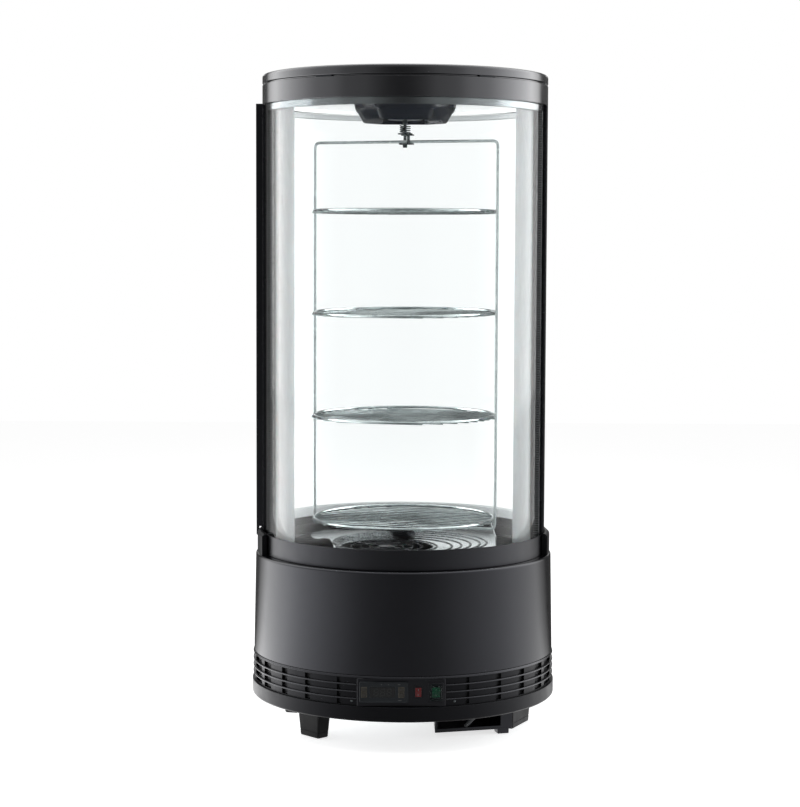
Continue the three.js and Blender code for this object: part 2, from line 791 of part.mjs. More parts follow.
// The floor cover's plan and the fan opening in it, which the cold fan below follows
const coverInset = 36.5;
const coverRightShare = 0.847;
const coverRearShare = 0.6175;
const upstandFrontShare = 0.4809;
const fanXShare = -0.153;
const fanYShare = -0.4918;
const guardShare = 0.4262;
const coldFanShare = 0.7436;
const coldFanMotorRadius = 18;
const coverRadius = frameInnerRadius - coverInset;
const coverRightX = coverRadius * coverRightShare;
const coverRearY = coverRadius * coverRearShare;
const upstandFrontY = -coverRadius * upstandFrontShare;
const fanX = coverRadius * fanXShare;
const fanY = coverRadius * fanYShare;
const guardRadius = coverRadius * guardShare;
const coldFanRadius = guardRadius * coldFanShare;

function makeTub() {
  const shell = revolve([
    [0, tubBottom], [tubRadius, tubBottom], [tubRadius, tubTop],
    [tubRadius - tubWall, tubTop], [tubRadius - tubWall, tubFloor], [0, tubFloor],
  ], roundSteps);
  const fanBase = tubTop - fanHubLength - fanTipGap;
  const motor = column(coldFanMotorRadius, coldFanMotorRadius, tubFloor - overrun, fanBase - seatGap,
    fanX, fanY);
  const spout = column(hoseRadius, hoseRadius, tubBottom - spoutLength, tubBottom + overrun,
    spoutX, spoutY);
  return join(shell, motor, spout);
}

function makeEvaporator() {
  const low = tubFloor + seatGap;
  const high = low + evaporatorHeight;
  const pitch = evaporatorWidth / evaporatorFinCount;
  const slots = Array.from({ length: evaporatorFinCount - 1 }, (_, i) => block(
    pitch * finSlotShare, evaporatorThickness + overrun, low + shroudWall, high + overrun,
    (i + 1 - evaporatorFinCount / 2) * pitch, evaporatorY));
  return cut(block(evaporatorWidth, evaporatorThickness, low, high, 0, evaporatorY), ...slots);
}

addPart('evaporator_tub', makeTub(), 'foam');
addPart('evaporator', makeEvaporator(), 'aluminium');
const coldFan = addPart('evaporator_fan', makeFan(coldFanRadius), 'satinBlack');
coldFan.position.set(fanX, fanY, tubTop - fanHubLength - fanTipGap);

// Display floor: pan, polished cover plate with its upstand, and the fan guard

const panRimHeight = 3;
const panRimThickness = 3;
const panFanClearance = 6;
const returnSlotWidthShare = 0.82;
const returnSlotDepthShare = 0.186;
const returnSlotWidth = coverRadius * returnSlotWidthShare;
const returnSlotDepth = coverRadius * returnSlotDepthShare;
const coverRise = 13;
const coverLevel = panTop + coverRise;
const coverThickness = 1.5;
const upstandRise = 17;
const upstandTop = coverLevel + upstandRise;
const coverHubHole = 12;
const guardThickness = 2;
const guardRingWidth = 3;
const guardRingCount = 2;
const guardSteps = 20;
const guardHubRadius = 14;
const guardSpokeCount = 4;

function makeFloorPan() {
  const outer = frameInnerRadius - seatGap;
  const pan = revolve([
    [0, panUnderside], [outer, panUnderside], [outer, panTop + panRimHeight],
    [outer - panRimThickness, panTop + panRimHeight], [outer - panRimThickness, panTop], [0, panTop],
  ]);
  const fanHole = column(coldFanRadius + panFanClearance, coldFanRadius + panFanClearance,
    panUnderside - overrun, panTop + overrun, fanX, fanY);
  const returnSlot = block(returnSlotWidth, returnSlotDepth, panUnderside - overrun, panTop + overrun,
    0, coverRearY + returnSlotDepth);
  return cut(pan, fanHole, returnSlot);
}

// The cover's plan: a circle cut off straight at the right and the rear
function coverSolid(inset, low, high) {
  const disc = column(coverRadius - inset, coverRadius - inset, low, high, 0, 0, roundSteps);
  const rightX = coverRightX - inset;
  const rearY = coverRearY - inset;
  const rightCut = block(coverRadius, 2 * coverRadius + overrun, low - overrun, high + overrun,
    rightX + coverRadius / 2, 0);
  const rearCut = block(2 * coverRadius + overrun, coverRadius, low - overrun, high + overrun,
    0, rearY + coverRadius / 2);
  return cut(disc, rightCut, rearCut);
}

function makeEvaporatorCover() {
  const low = panTop + seatGap;
  const shell = cut(
    coverSolid(0, low, coverLevel),
    coverSolid(coverThickness, low - overrun, coverLevel - coverThickness),
  );
  const fanHole = column(guardRadius, guardRadius, low, coverLevel + overrun, fanX, fanY, guardSteps);
  const hubHole = column(coverHubHole, coverHubHole, low, coverLevel + overrun);
  const upstandLength = coverRearY - upstandFrontY;
  const upstand = block(coverThickness, upstandLength, coverLevel - coverThickness, upstandTop,
    coverRightX - coverThickness / 2, (coverRearY + upstandFrontY) / 2);
  return join(cut(shell, fanHole, hubHole), upstand);
}

function makeFanGuard() {
  const outer = guardRadius - glazingGap;
  const low = coverLevel - coverThickness;
  const high = low + guardThickness;
  const annulus = (radius) => cut(
    column(radius, radius, low, high, fanX, fanY, guardSteps),
    column(radius - guardRingWidth, radius - guardRingWidth, low - overrun, high + overrun,
      fanX, fanY, guardSteps),
  );
  const rings = Array.from({ length: guardRingCount }, (_, i) =>
    annulus(guardHubRadius + (outer - guardHubRadius) * (i + 1) / guardRingCount));
  const hub = column(guardHubRadius, guardHubRadius, low, high, fanX, fanY);
  const spokes = Array.from({ length: guardSpokeCount / 2 }, (_, i) => {
    const bar = block(2 * (outer - guardRingWidth / 2), guardRingWidth, low, high);
    return turned(bar, 45 + 360 * i / guardSpokeCount).translate([fanX, fanY, 0]);
  });
  const legs = [-1, 1].map((side) => block(
    guardRingWidth, guardRingWidth, panTop + seatGap, low + overrun / 2,
    fanX + side * (outer - guardRingWidth), fanY,
  ));
  return join(hub, ...rings, ...spokes, ...legs);
}

addPart('floor_pan', makeFloorPan(), 'satinBlack');
addPart('evaporator_cover', makeEvaporatorCover(), 'stainless');
addPart('fan_guard', makeFanGuard(), 'stainless');

// Pivot post that the rack's hub turns on

const postRadius = 5;
const postFlangeRadius = 16;
const postFlangeThickness = 3;
const hubRise = 49;
const hubCap = 13;
const hubTop = ledgeLevel + hubRise;
const hubBoreTop = hubTop - hubCap;
const hubClearance = 0.3;

addPart('pivot_post', revolve([
  [0, panTop + seatGap], [postFlangeRadius, panTop + seatGap],
  [postFlangeRadius, panTop + seatGap + postFlangeThickness],
  [postRadius, panTop + seatGap + postFlangeThickness],
  [postRadius, hubBoreTop - seatGap], [0, hubBoreTop - seatGap],
], smallRoundSteps), 'blackMetal');

// Drip tray under the right side, standing on three pads, and the hose that drains into it

const trayTurnDegrees = 15.2;
const trayWidthShare = 0.5203;
const trayRearShare = 0.595;
const trayDepthShare = 0.4023;
const trayWidth = skirtRadius * trayWidthShare;
const trayDepth = skirtRadius * trayDepthShare;
const trayBottom = 8;
const trayTopGap = 0.5;
const trayWall = 2;
const trayLipHeight = 6;
const trayPad = 20;

const trayGroup = new THREE.Group();
trayGroup.position.set(trayFront.x, trayFront.y, 0);
trayGroup.rotation.z = radians(trayTurnDegrees);
cabinet.add(trayGroup);

// The tray is wide in front and narrows towards the rear, inset by a wall on all sides for its inside
function trayOutline(inset) {
  const front = trayWidth / 2 - inset;
  const rear = trayWidth * trayRearShare / 2 - inset;
  return [
    [-front, inset], [front, inset], [rear, trayDepth - inset], [-rear, trayDepth - inset],
  ].map(([x, y]) => new THREE.Vector2(x, y));
}

function makeDripTray() {
  const top = footHeight - trayTopGap;
  const outer = prism(trayOutline(0), trayBottom, top);
  const inner = prism(trayOutline(trayWall), trayBottom + trayWall, top + overrun);
  const cutLeft = 2 * trayWall - trayWidth / 2;
  const cutRight = trayWidth / 2 - trayPad;
  const frontCut = block(cutRight - cutLeft, 2 * trayWall + overrun,
    trayBottom + trayLipHeight, top + overrun, (cutLeft + cutRight) / 2);
  const rearPadX = (trayWidth * trayRearShare - trayPad) / 2;
  const rearPadY = trayDepth - trayPad / 2;
  const padPlaces = [[cutRight + trayPad / 4, trayPad / 2], [rearPadX, rearPadY], [-rearPadX, rearPadY]];
  const pads = padPlaces.map(([x, y]) => block(trayPad, trayPad, 0, trayBottom + trayWall / 2, x, y));
  return join(cut(outer, inner, frontCut), ...pads);
}

addPart('drip_tray', makeDripTray(), 'blackPlastic', trayGroup);

const hoseSides = 8;
const hoseSteps = 14;
const hoseTop = tubBottom - spoutLength - seatGap;
const hoseEndReach = 20;
const hoseEndSetback = 2;
const hoseEnd = {
  x: trayFront.x - hoseEndReach,
  y: trayFront.y + hoseEndSetback,
  z: trayBottom + trayLipHeight,
};
const hoseRoute = new THREE.CatmullRomCurve3([
  new THREE.Vector3(spoutX, spoutY, hoseTop),
  new THREE.Vector3(spoutX, spoutY, hoseTop - 2 * hoseRadius),
  new THREE.Vector3(spoutX, spoutY, (hoseTop + chassisTop) / 2),
  new THREE.Vector3(hoseDrop.x, hoseDrop.y, chassisTop + 4 * hoseRadius),
  new THREE.Vector3(hoseDrop.x, hoseDrop.y, chassisBottom),
  new THREE.Vector3(
    (hoseDrop.x + hoseEnd.x) / 2 + hoseRadius,
    (hoseDrop.y + hoseEnd.y) / 2,
    (chassisBottom + hoseEnd.z) / 2,
  ),
  new THREE.Vector3(hoseEnd.x, hoseEnd.y, hoseEnd.z),
]);

addPart('drain_hose', tube(hoseRoute, hoseRadius, hoseSides, hoseSteps), 'greyHose');

// Front glazing: sill channel, two curved panes and the spacer frame between them

const frontSillHeight = 33.7;
const frontSillLip = 1.5;
const frontSillRadius = outerPaneRadius + frontSillLip;
const sillFloorThickness = 3;
const sillInnerHeight = 18;
const sillBottom = ledgeLevel + seatGap;
const sillFloor = sillBottom + sillFloorThickness;
const paneBottom = sillFloor + seatGap;
const ringGrooveDepth = 8;
const paneTop = ringBottom + ringGrooveDepth - seatGap;
const spacerBarWidth = 11;
const spacerTopDrop = 11;

function makeFrontSill() {
  const top = sillBottom + frontSillHeight;
  const solid = sector(frameInnerRadius, frontSillRadius,
    glazingLeftAzimuth, glazingRightAzimuth, sillBottom, top);
  const channel = sector(innerPaneRadius - glazingGap, outerPaneRadius + seatGap,
    glazingLeftAzimuth - slitDegrees, glazingRightAzimuth + slitDegrees, sillFloor, top + overrun);
  const innerStep = sector(frameInnerRadius - overrun, outerPaneRadius - paneThickness,
    glazingLeftAzimuth - slitDegrees, glazingRightAzimuth + slitDegrees,
    sillBottom + sillInnerHeight, top + overrun);
  return cut(solid, channel, innerStep);
}

function frontPane(outer) {
  return sector(outer - paneThickness, outer, glazingLeftAzimuth, glazingRightAzimuth, paneBottom, paneTop);
}

function makeSpacer() {
  const inner = innerPaneOuterRadius + seatGap;
  const outer = outerPaneRadius - paneThickness - seatGap;
  const barDegrees = THREE.MathUtils.radToDeg(spacerBarWidth / inner);
  const window = sector(inner - overrun, outer + overrun,
    glazingLeftAzimuth + barDegrees, glazingRightAzimuth - barDegrees,
    paneBottom + spacerBarWidth, ringBottom - spacerTopDrop);
  return cut(sector(inner, outer, glazingLeftAzimuth, glazingRightAzimuth, paneBottom, paneTop), window);
}

addPart('front_sill', makeFrontSill(), 'satinBlack');
addPart('front_pane_outer', frontPane(outerPaneRadius), 'glass');
addPart('front_pane_inner', frontPane(innerPaneOuterRadius), 'glass');
addPart('glazing_spacer', makeSpacer(), 'aluminium');

// Pillars at both ends of the fixed glazing, with two grooves down the outside

const pillarGrooveDepth = 2;
const pillarGrooveDegrees = 1.1;
const pillarGrooveShares = [0.3, 0.65];
const pillarBottom = ledgeLevel + seatGap;
const pillarTop = ringBottom - seatGap;

function makePillar(fromAzimuth, toAzimuth) {
  const solid = sector(frameInnerRadius, frameOuterRadius, fromAzimuth, toAzimuth, pillarBottom, pillarTop);
  const grooves = pillarGrooveShares.map((share) => {
    const middle = fromAzimuth + (toAzimuth - fromAzimuth) * share;
    return sector(frameOuterRadius - pillarGrooveDepth, frameOuterRadius + overrun,
      middle - pillarGrooveDegrees / 2, middle + pillarGrooveDegrees / 2,
      pillarBottom - overrun, pillarTop + overrun);
  });
  return cut(solid, ...grooves);
}

addPart('pillar_left', makePillar(pillarLeftAzimuth, glazingLeftAzimuth - slitDegrees), 'blackMetal');
addPart('pillar_right', makePillar(glazingRightAzimuth + slitDegrees, pillarRightAzimuth), 'blackMetal');

// Light columns: half-round diffusers on a back rail, inside the two pillars

const lightColumnAzimuth = 79;
const lightColumnWidth = 36;
const lightColumnDepth = 30;
const lightColumnSteps = 8;

function makeLightColumn(azimuth) {
  const half = lightColumnWidth / 2;
  const straight = lightColumnDepth - half;
  const outline = [new THREE.Vector2(half, 0), new THREE.Vector2(half, straight)];
  for (let i = 1; i < lightColumnSteps; i++) {
    const angle = Math.PI * i / lightColumnSteps;
    outline.push(new THREE.Vector2(half * Math.cos(angle), straight + half * Math.sin(angle)));
  }
  outline.push(new THREE.Vector2(-half, straight), new THREE.Vector2(-half, 0));
  const back = Math.sqrt((frameInnerRadius - seatGap) ** 2 - half ** 2);
  const place = onCircle(back, azimuth);
  const upright = prism(outline, panTop + panRimHeight + seatGap, pillarTop);
  return turned(upright, azimuth).translate([place.x, place.y, 0]);
}

addPart('light_column_left', makeLightColumn(-lightColumnAzimuth), 'diffuser');
addPart('light_column_right', makeLightColumn(lightColumnAzimuth), 'diffuser');

// Top ring with the groove for the panes, ceiling panel and lid

const topRingRadius = frameOuterRadius;
const ringInset = 5.8;
const ringInnerRadius = innerPaneRadius - ringInset;
const ringLedgeWidth = 4;
const ringLedgeThickness = 4;
const ceilingThickness = 3;
const ceilingBottom = ringBottom + ringLedgeThickness + seatGap;
const lidRadius = frameOuterRadius;
const lidSkin = 3;
const lidEdge = 4;
const lidSpigotInset = 5;
const lidSpigotRadius = lidRadius - lidSpigotInset;
const lidSpigotThickness = 4;

addPart('top_ring', cut(revolve([
  [topRingRadius, ringBottom], [topRingRadius, ringTop],
  [ringInnerRadius, ringTop], [ringInnerRadius, ringBottom + ringLedgeThickness],
  [ringInnerRadius - ringLedgeWidth, ringBottom + ringLedgeThickness],
  [ringInnerRadius - ringLedgeWidth, ringBottom],
  [innerPaneRadius - glazingGap, ringBottom],
  [innerPaneRadius - glazingGap, ringBottom + ringGrooveDepth],
  [outerPaneRadius + glazingGap, ringBottom + ringGrooveDepth],
  [outerPaneRadius + glazingGap, ringBottom],
]), hingeBore(ringBottom, 1)), 'blackPlastic');

addPart('ceiling_panel', column(
  ringInnerRadius - seatGap, ringInnerRadius - seatGap, ceilingBottom, ceilingBottom + ceilingThickness,
  0, 0, roundSteps,
), 'whitePanel');

addPart('lid', revolve([
  [0, lidTop], [lidRadius - lidEdge, lidTop], [lidRadius, lidTop - lidEdge],
  [lidRadius, lidBottom], [lidSpigotRadius, lidBottom],
  [lidSpigotRadius, ringTop + seatGap], [lidSpigotRadius - lidSpigotThickness, ringTop + seatGap],
  [lidSpigotRadius - lidSpigotThickness, lidTop - lidSkin], [0, lidTop - lidSkin],
]), 'blackPlastic');

// Motor cover and gear motor under the ceiling

const coverLowHalf = 71.5;
const coverMidHalf = 82;
const coverTopHalf = 86;
const ceilingUnderside = ceilingBottom - seatGap;
const motorCoverHeight = 33;
const motorCoverLip = 12;
const coverLowLevel = ceilingUnderside - motorCoverHeight;
const coverMidLevel = ceilingUnderside - motorCoverLip;
const coverCornerShare = 0.34;
const coverShell = 2.5;
const shaftRadius = 4;
const shaftClearance = 0.8;
const gearMotorRadius = 30;
const gearMotorHeight = 26;
const gearMotorEarWidth = 90;
const gearMotorEarDepth = 18;
const gearMotorEarThickness = 2;

function makeMotorCover() {
  const halves = [coverLowHalf, coverMidHalf, coverTopHalf];
  const levels = [coverLowLevel, coverMidLevel, ceilingUnderside];
  const outer = loft(halves.map((half) => chamferedSquare(half, half * coverCornerShare)), levels);
  const innerHalves = halves.map((half) => half - coverShell);
  const innerLevels = [coverLowLevel + coverShell, coverMidLevel, ceilingUnderside + overrun];
  const inner = loft(innerHalves.map((half) => chamferedSquare(half, half * coverCornerShare)), innerLevels);
  const shaftHole = column(shaftRadius + shaftClearance, shaftRadius + shaftClearance,
    coverLowLevel - overrun, coverLowLevel + 2 * coverShell);
  return cut(outer, inner, shaftHole);
}

function makeGearMotor() {
  const low = ceilingUnderside - gearMotorHeight;
  const can = column(gearMotorRadius, gearMotorRadius, low, ceilingUnderside, 0, 0, smallRoundSteps);
  const ears = block(gearMotorEarWidth, gearMotorEarDepth,
    ceilingUnderside - gearMotorEarThickness, ceilingUnderside);
  return join(can, ears);
}

addPart('motor_cover', makeMotorCover(), 'blackPlastic');
addPart('gear_motor', makeGearMotor(), 'zincSteel');

// Rear sill: a collar around the rear that carries the door, with arms outside the pillars

const rearSillProud = 9;
const rearSillRadius = frameOuterRadius + rearSillProud;
const rearSillHeight = 36;
const rearSillChamfer = 4;
const rearSillStep = 12;
const rearSillStepWidth = 6;
const collarLeftAzimuth = 288;
const collarRightAzimuth = 76;
const rearSillTop = sillBottom + rearSillHeight;
const doorBottom = rearSillTop + doorGap;
const doorTop = ringBottom - doorGap;

function makeRearSill() {
  const ring = revolve([
    [frameInnerRadius, sillBottom], [rearSillRadius, sillBottom],
    [rearSillRadius, rearSillTop - rearSillChamfer], [rearSillRadius - rearSillChamfer, rearSillTop],
    [frameInnerRadius + rearSillStepWidth, rearSillTop],
    [frameInnerRadius + rearSillStepWidth, rearSillTop - rearSillStep],
    [frameInnerRadius, rearSillTop - rearSillStep],
  ]);
  const reach = rearSillRadius + overrun;
  const collar = sector(frameOuterRadius + glazingGap, reach, collarRightAzimuth, collarLeftAzimuth,
    sillBottom - overrun, rearSillTop + overrun);
  const rear = sector(frameInnerRadius - overrun, reach,
    pillarRightAzimuth + slitDegrees, 360 + pillarLeftAzimuth - slitDegrees,
    sillBottom - overrun, rearSillTop + overrun);
  return cut(ring.intersect(join(collar, rear)), hingeBore(rearSillTop, -1));
}

addPart('rear_sill', makeRearSill(), 'blackPlastic');

// Rear door: two stiles, two rails and two curved panes, hinged at the right

const stileDegrees = 5;
const railHeight = 14;
const topRailHeight = 8;
const gripProud = 12;
const gripWidthDegrees = 2.2;
const gripTopDrop = 2;
const paneInsertDegrees = 1.6;
const railInsert = 5;

const hingeStileEnd = hingeAzimuth + stileDegrees;
const latchStileStart = doorLatchAzimuth - stileDegrees;

// The space that both door panes take, grown all round by a gap
function doorPaneRoom(outer, gap) {
  return sector(outer - paneThickness - gap, outer + gap,
    hingeStileEnd - paneInsertDegrees - slitDegrees * (gap > 0 ? 1 : 0),
    latchStileStart + paneInsertDegrees + slitDegrees * (gap > 0 ? 1 : 0),
    doorBottom + railHeight - railInsert - gap, doorTop - topRailHeight + railInsert + gap);
}

function cutForPanes(solid) {
  return cut(solid, doorPaneRoom(outerPaneRadius, seatGap), doorPaneRoom(innerPaneOuterRadius, seatGap));
}

function makeHingeStile() {
  const body = sector(frameInnerRadius + overrun, frameOuterRadius, hingeAzimuth, hingeStileEnd,
    doorBottom, doorTop);
  const nose = column(hingeNose, hingeNose, doorBottom, doorTop, hingePlace.x, hingePlace.y, hingeSteps);
  const pinLow = doorBottom - doorGap - hingePinLength;
  const pinHigh = doorTop + doorGap + hingePinLength;
  const pin = column(hingePinRadius, hingePinRadius, pinLow, pinHigh, hingePlace.x, hingePlace.y, hingeSteps);
  return join(cutForPanes(join(body, nose)), pin);
}

function makeLatchStile() {
  const body = sector(frameInnerRadius + overrun, frameOuterRadius, latchStileStart, doorLatchAzimuth,
    doorBottom, doorTop);
  const grip = sector(frameOuterRadius - overrun, frameOuterRadius + gripProud,
    doorLatchAzimuth - gripWidthDegrees, doorLatchAzimuth, doorBottom, doorTop - gripTopDrop);
  return join(cutForPanes(body), grip);
}

function makeRail(low, high) {
  return cutForPanes(sector(frameInnerRadius + overrun, frameOuterRadius,
    hingeStileEnd + slitDegrees / 2, latchStileStart - slitDegrees / 2, low, high));
}

addPart('door_hinge_stile', makeHingeStile(), 'blackMetal');
addPart('door_latch_stile', makeLatchStile(), 'blackMetal');
addPart('door_bottom_rail', makeRail(doorBottom, doorBottom + railHeight), 'blackPlastic');
addPart('door_top_rail', makeRail(doorTop - topRailHeight, doorTop), 'aluminium');
addPart('door_pane_outer', doorPaneRoom(outerPaneRadius, 0), 'glass');
addPart('door_pane_inner', doorPaneRoom(innerPaneOuterRadius, 0), 'glass');

// Turning rack: drive shaft, spring, hook bracket, wire frame, four shelves and the hub

const rack = new THREE.Group();
rack.rotation.z = radians(rackTurnDegrees);
cabinet.add(rack);

const barDrop = 30;
const washerLift = 12.6;
const barLevel = coverLowLevel - barDrop;
const washerRadius = 12.5;
const washerBottom = barLevel + washerLift;
const washerThickness = 1.7;
const shaftCollarRadius = 7;
const shaftCollarHeight = 1;
const shaftTop = ceilingUnderside - gearMotorHeight - seatGap;
const shaftBottom = barLevel + wireRadius + seatGap;
const springTopLevel = coverLowLevel - shaftCollarHeight - 2 * seatGap;

addPart('drive_shaft', revolve([
  [0, shaftBottom], [shaftRadius, shaftBottom],
  [shaftRadius, washerBottom], [washerRadius, washerBottom],
  [washerRadius, washerBottom + washerThickness], [shaftRadius, washerBottom + washerThickness],
  [shaftRadius, springTopLevel], [shaftCollarRadius, springTopLevel],
  [shaftCollarRadius, springTopLevel + shaftCollarHeight], [shaftRadius, springTopLevel + shaftCollarHeight],
  [shaftRadius, shaftTop], [0, shaftTop],
], smallRoundSteps), 'zincSteel', rack);

const springWireRadius = 0.9;
const springMeanRadius = 8.4;
const springTurns = 3.5;
const springStepsPerTurn = 8;
const springSides = 5;
const springBottom = washerBottom + washerThickness + seatGap + springWireRadius;
const springTop = springTopLevel - seatGap - springWireRadius;

class Helix extends THREE.Curve {
  getPoint(t, target = new THREE.Vector3()) {
    const angle = 2 * Math.PI * springTurns * t;
    return target.set(
      springMeanRadius * Math.cos(angle),
      springMeanRadius * Math.sin(angle),
      springBottom + (springTop - springBottom) * t,
    );
  }
}

// Least distance between stretches of the spring that are half a turn or more apart
function leastSpringGap(curve) {
  const samplesPerTurn = 40;
  const points = curve.getPoints(Math.round(springTurns * samplesPerTurn));
  let least = Infinity;
  for (let i = 0; i < points.length; i++) {
    for (let j = i + samplesPerTurn / 2; j < points.length; j++) {
      least = Math.min(least, points[i].distanceTo(points[j]));
    }
  }
  return least - 2 * springWireRadius;
}

const springCurve = new Helix();
console.log('least gap of the drive spring to itself, mm:', leastSpringGap(springCurve).toFixed(2));
const springSteps = Math.round(springTurns * springStepsPerTurn);
addPart('drive_spring', tube(springCurve, springWireRadius, springSides, springSteps), 'zincSteel', rack);

const bracketThickness = 2;
const bracketStripWidth = 6;
const bracketStripX = 12;
const bracketPlateWidth = 25;
const bracketNutRadius = 4;
const bracketNutHeight = 5;
const bracketNutSides = 6;
const bracketHalfDepth = wireRadius + seatGap + bracketThickness;

function makeHookBracket() {
  const tabTop = washerBottom - seatGap;
  const tabBottom = tabTop - bracketThickness;
  const plateTop = barLevel - wireRadius - seatGap;
  const plateBottom = plateTop - bracketThickness;
  const right = bracketStripX + bracketStripWidth / 2;
  const left = -shaftRadius - bracketThickness;
  const tab = cut(
    block(right - left, 2 * bracketHalfDepth + bracketThickness, tabBottom, tabTop, (left + right) / 2,
      bracketThickness / 2),
    column(shaftRadius + seatGap, shaftRadius + seatGap, tabBottom - overrun, tabTop + overrun),
  );
  const strip = block(bracketStripWidth, bracketThickness, plateBottom, tabTop,
    bracketStripX, -bracketHalfDepth + bracketThickness / 2);
  const plate = block(bracketPlateWidth, 2 * bracketHalfDepth, plateBottom, plateTop,
    right - bracketPlateWidth / 2, 0);
  const nut = column(bracketNutRadius, bracketNutRadius, plateBottom - bracketNutHeight,
    plateBottom + overrun / 2, 0, 0, bracketNutSides);
  return join(tab, strip, plate, nut);
}

addPart('hook_bracket', makeHookBracket(), 'zincSteel', rack);

// Hub under the lowest shelf, bored for the pivot post

const hubRadius = 23;
const hubEdge = 4;
const hubBodyHeight = 13;
const hubConeHeight = 13;
const hubStemHeight = 9;
const hubWaistLevel = hubTop - hubBodyHeight;
const hubNeckLevel = hubWaistLevel - hubConeHeight;
const hubNeckRadius = 13;
const hubStemRadius = 9;
const hubBottom = hubNeckLevel - hubStemHeight;
const frameBottomLevel = hubTop - hubEdge - wireRadius;

addPart('hub', revolve([
  [0, hubTop], [hubRadius - hubEdge, hubTop], [hubRadius, hubTop - hubEdge],
  [hubRadius, hubWaistLevel], [hubNeckRadius, hubNeckLevel],
  [hubStemRadius, hubNeckLevel], [hubStemRadius, hubBottom],
  [postRadius + hubClearance, hubBottom], [postRadius + hubClearance, hubBoreTop], [0, hubBoreTop],
], smallRoundSteps), 'blackPlastic', rack);

// Wire frame: one bent wire from the hub's left side round over the top to its right side

const frameCorner = 9;
const frameSides = 6;
const cornerSteps = 3;

function bend(path, from, corner, to) {
  const before = from.clone().sub(corner).normalize().multiplyScalar(frameCorner).add(corner);
  const after = to.clone().sub(corner).normalize().multiplyScalar(frameCorner).add(corner);
  const curve = new THREE.QuadraticBezierCurve3(before, corner, after);
  for (let i = 0; i <= cornerSteps; i++) path.push(curve.getPoint(i / cornerSteps));
}

// A wire through straight runs and bends, built ring by ring so that each bend keeps its points
function wire(points, radius, sides) {
  const rings = points.map((point, i) => {
    const ahead = points[Math.min(i + 1, points.length - 1)];
    const behind = points[Math.max(i - 1, 0)];
    const forward = ahead.clone().sub(behind).normalize();
    const side = new THREE.Vector3(0, 1, 0);
    const up = new THREE.Vector3().crossVectors(side, forward).normalize();
    const across = new THREE.Vector3().crossVectors(forward, up);
    return circleOutline(radius, sides).map(({ x, y }) =>
      point.clone().addScaledVector(up, x).addScaledVector(across, y));
  });
  const faces = [];
  for (let i = 0; i + 1 < rings.length; i++) {
    for (let j = 0; j < sides; j++) {
      const a = i * sides + j;
      const b = i * sides + (j + 1) % sides;
      faces.push(a, b, b + sides, a, b + sides, a + sides);
    }
  }
  const last = (rings.length - 1) * sides;
  for (let j = 1; j + 1 < sides; j++) {
    faces.push(0, j + 1, j);
    faces.push(last, last + j, last + j + 1);
  }
  const geometry = new THREE.BufferGeometry().setFromPoints(rings.flat());
  geometry.setIndex(faces);
  return toSolid(geometry);
}

function makeRackFrame() {
  const corner = (x, z) => new THREE.Vector3(x, 0, z);
  const start = corner(hubRadius + seatGap, frameBottomLevel);
  const lowRight = corner(uprightRadius, frameBottomLevel);
  const highRight = corner(uprightRadius, barLevel);
  const highLeft = corner(-uprightRadius, barLevel);
  const lowLeft = corner(-uprightRadius, frameBottomLevel);
  const end = corner(-hubRadius - seatGap, frameBottomLevel);
  const path = [start];
  bend(path, start, lowRight, highRight);
  bend(path, lowRight, highRight, highLeft);
  bend(path, highRight, highLeft, lowLeft);
  bend(path, highLeft, lowLeft, end);
  path.push(end);
  return wire(path, wireRadius, frameSides);
}

addPart('rack_frame', makeRackFrame(), 'chromeWire', rack);

// Shelves: a rim wire with parallel rods under it, the middle rod reaching to the uprights

const shelfHeightShares = [0.8177, 0.5499, 0.2754, 0];
const lowestShelfRise = 7.6;
const lowestShelf = hubTop + lowestShelfRise;
const shelfInset = 6.3;
const shelfRadius = uprightRadius - shelfInset;
const shelfRimRadius = 2.5;
const rodRadius = 1.5;
const rodCount = 15;
const rodPitchShare = 0.12524;
const rodPitch = shelfRadius * rodPitchShare;
const rimSteps = 32;
const rimSides = 5;
const rodSides = 4;
const weldDepth = 0.6;
const rodEndShare = 0.5;

function shelfRod(offset, rimCentre) {
  const isMiddle = offset === 0;
  const rimHalf = Math.sqrt(rimCentre ** 2 - offset ** 2);
  const reach = isMiddle ? uprightRadius - wireRadius - seatGap : rimHalf + shelfRimRadius * rodEndShare;
  const z = -shelfRimRadius - rodRadius + weldDepth;
  const geometry = new THREE.CylinderGeometry(rodRadius, rodRadius, 2 * reach, rodSides);
  geometry.rotateY(Math.PI / rodSides);
  geometry.rotateZ(Math.PI / 2);
  return toSolid(geometry.translate(0, offset, z));
}

function makeShelf() {
  const rimCentre = shelfRadius - shelfRimRadius;
  const section = circleOutline(shelfRimRadius, rimSides).map(({ x, y }) => [rimCentre + y, x]);
  const rim = revolve(section.map(([r, z]) => [r, -z]), rimSteps);
  const rods = Array.from({ length: rodCount }, (_, i) =>
    shelfRod((i - (rodCount - 1) / 2) * rodPitch, rimCentre));
  return join(rim, ...rods);
}

shelfHeightShares.forEach((share, i) => {
  const shelf = addPart(`shelf_${i + 1}`, makeShelf(), 'chromeWire', rack);
  shelf.position.z = lowestShelf + share * (barLevel - lowestShelf);
});

export default cabinet;
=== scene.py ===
# %% [markdown]
# A round countertop display fridge: a louvred black base, curved double glazing, a hinged rear door and a wire rack
# that turns under a geared motor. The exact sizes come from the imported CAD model, which is loaded first and never
# moved. This file dresses it: finer surfaces with rounded edges, and a material for every piece.

# %% Load the frame
import json
import math
import bmesh
import bpy
from mathutils import Matrix, Quaternion, Vector


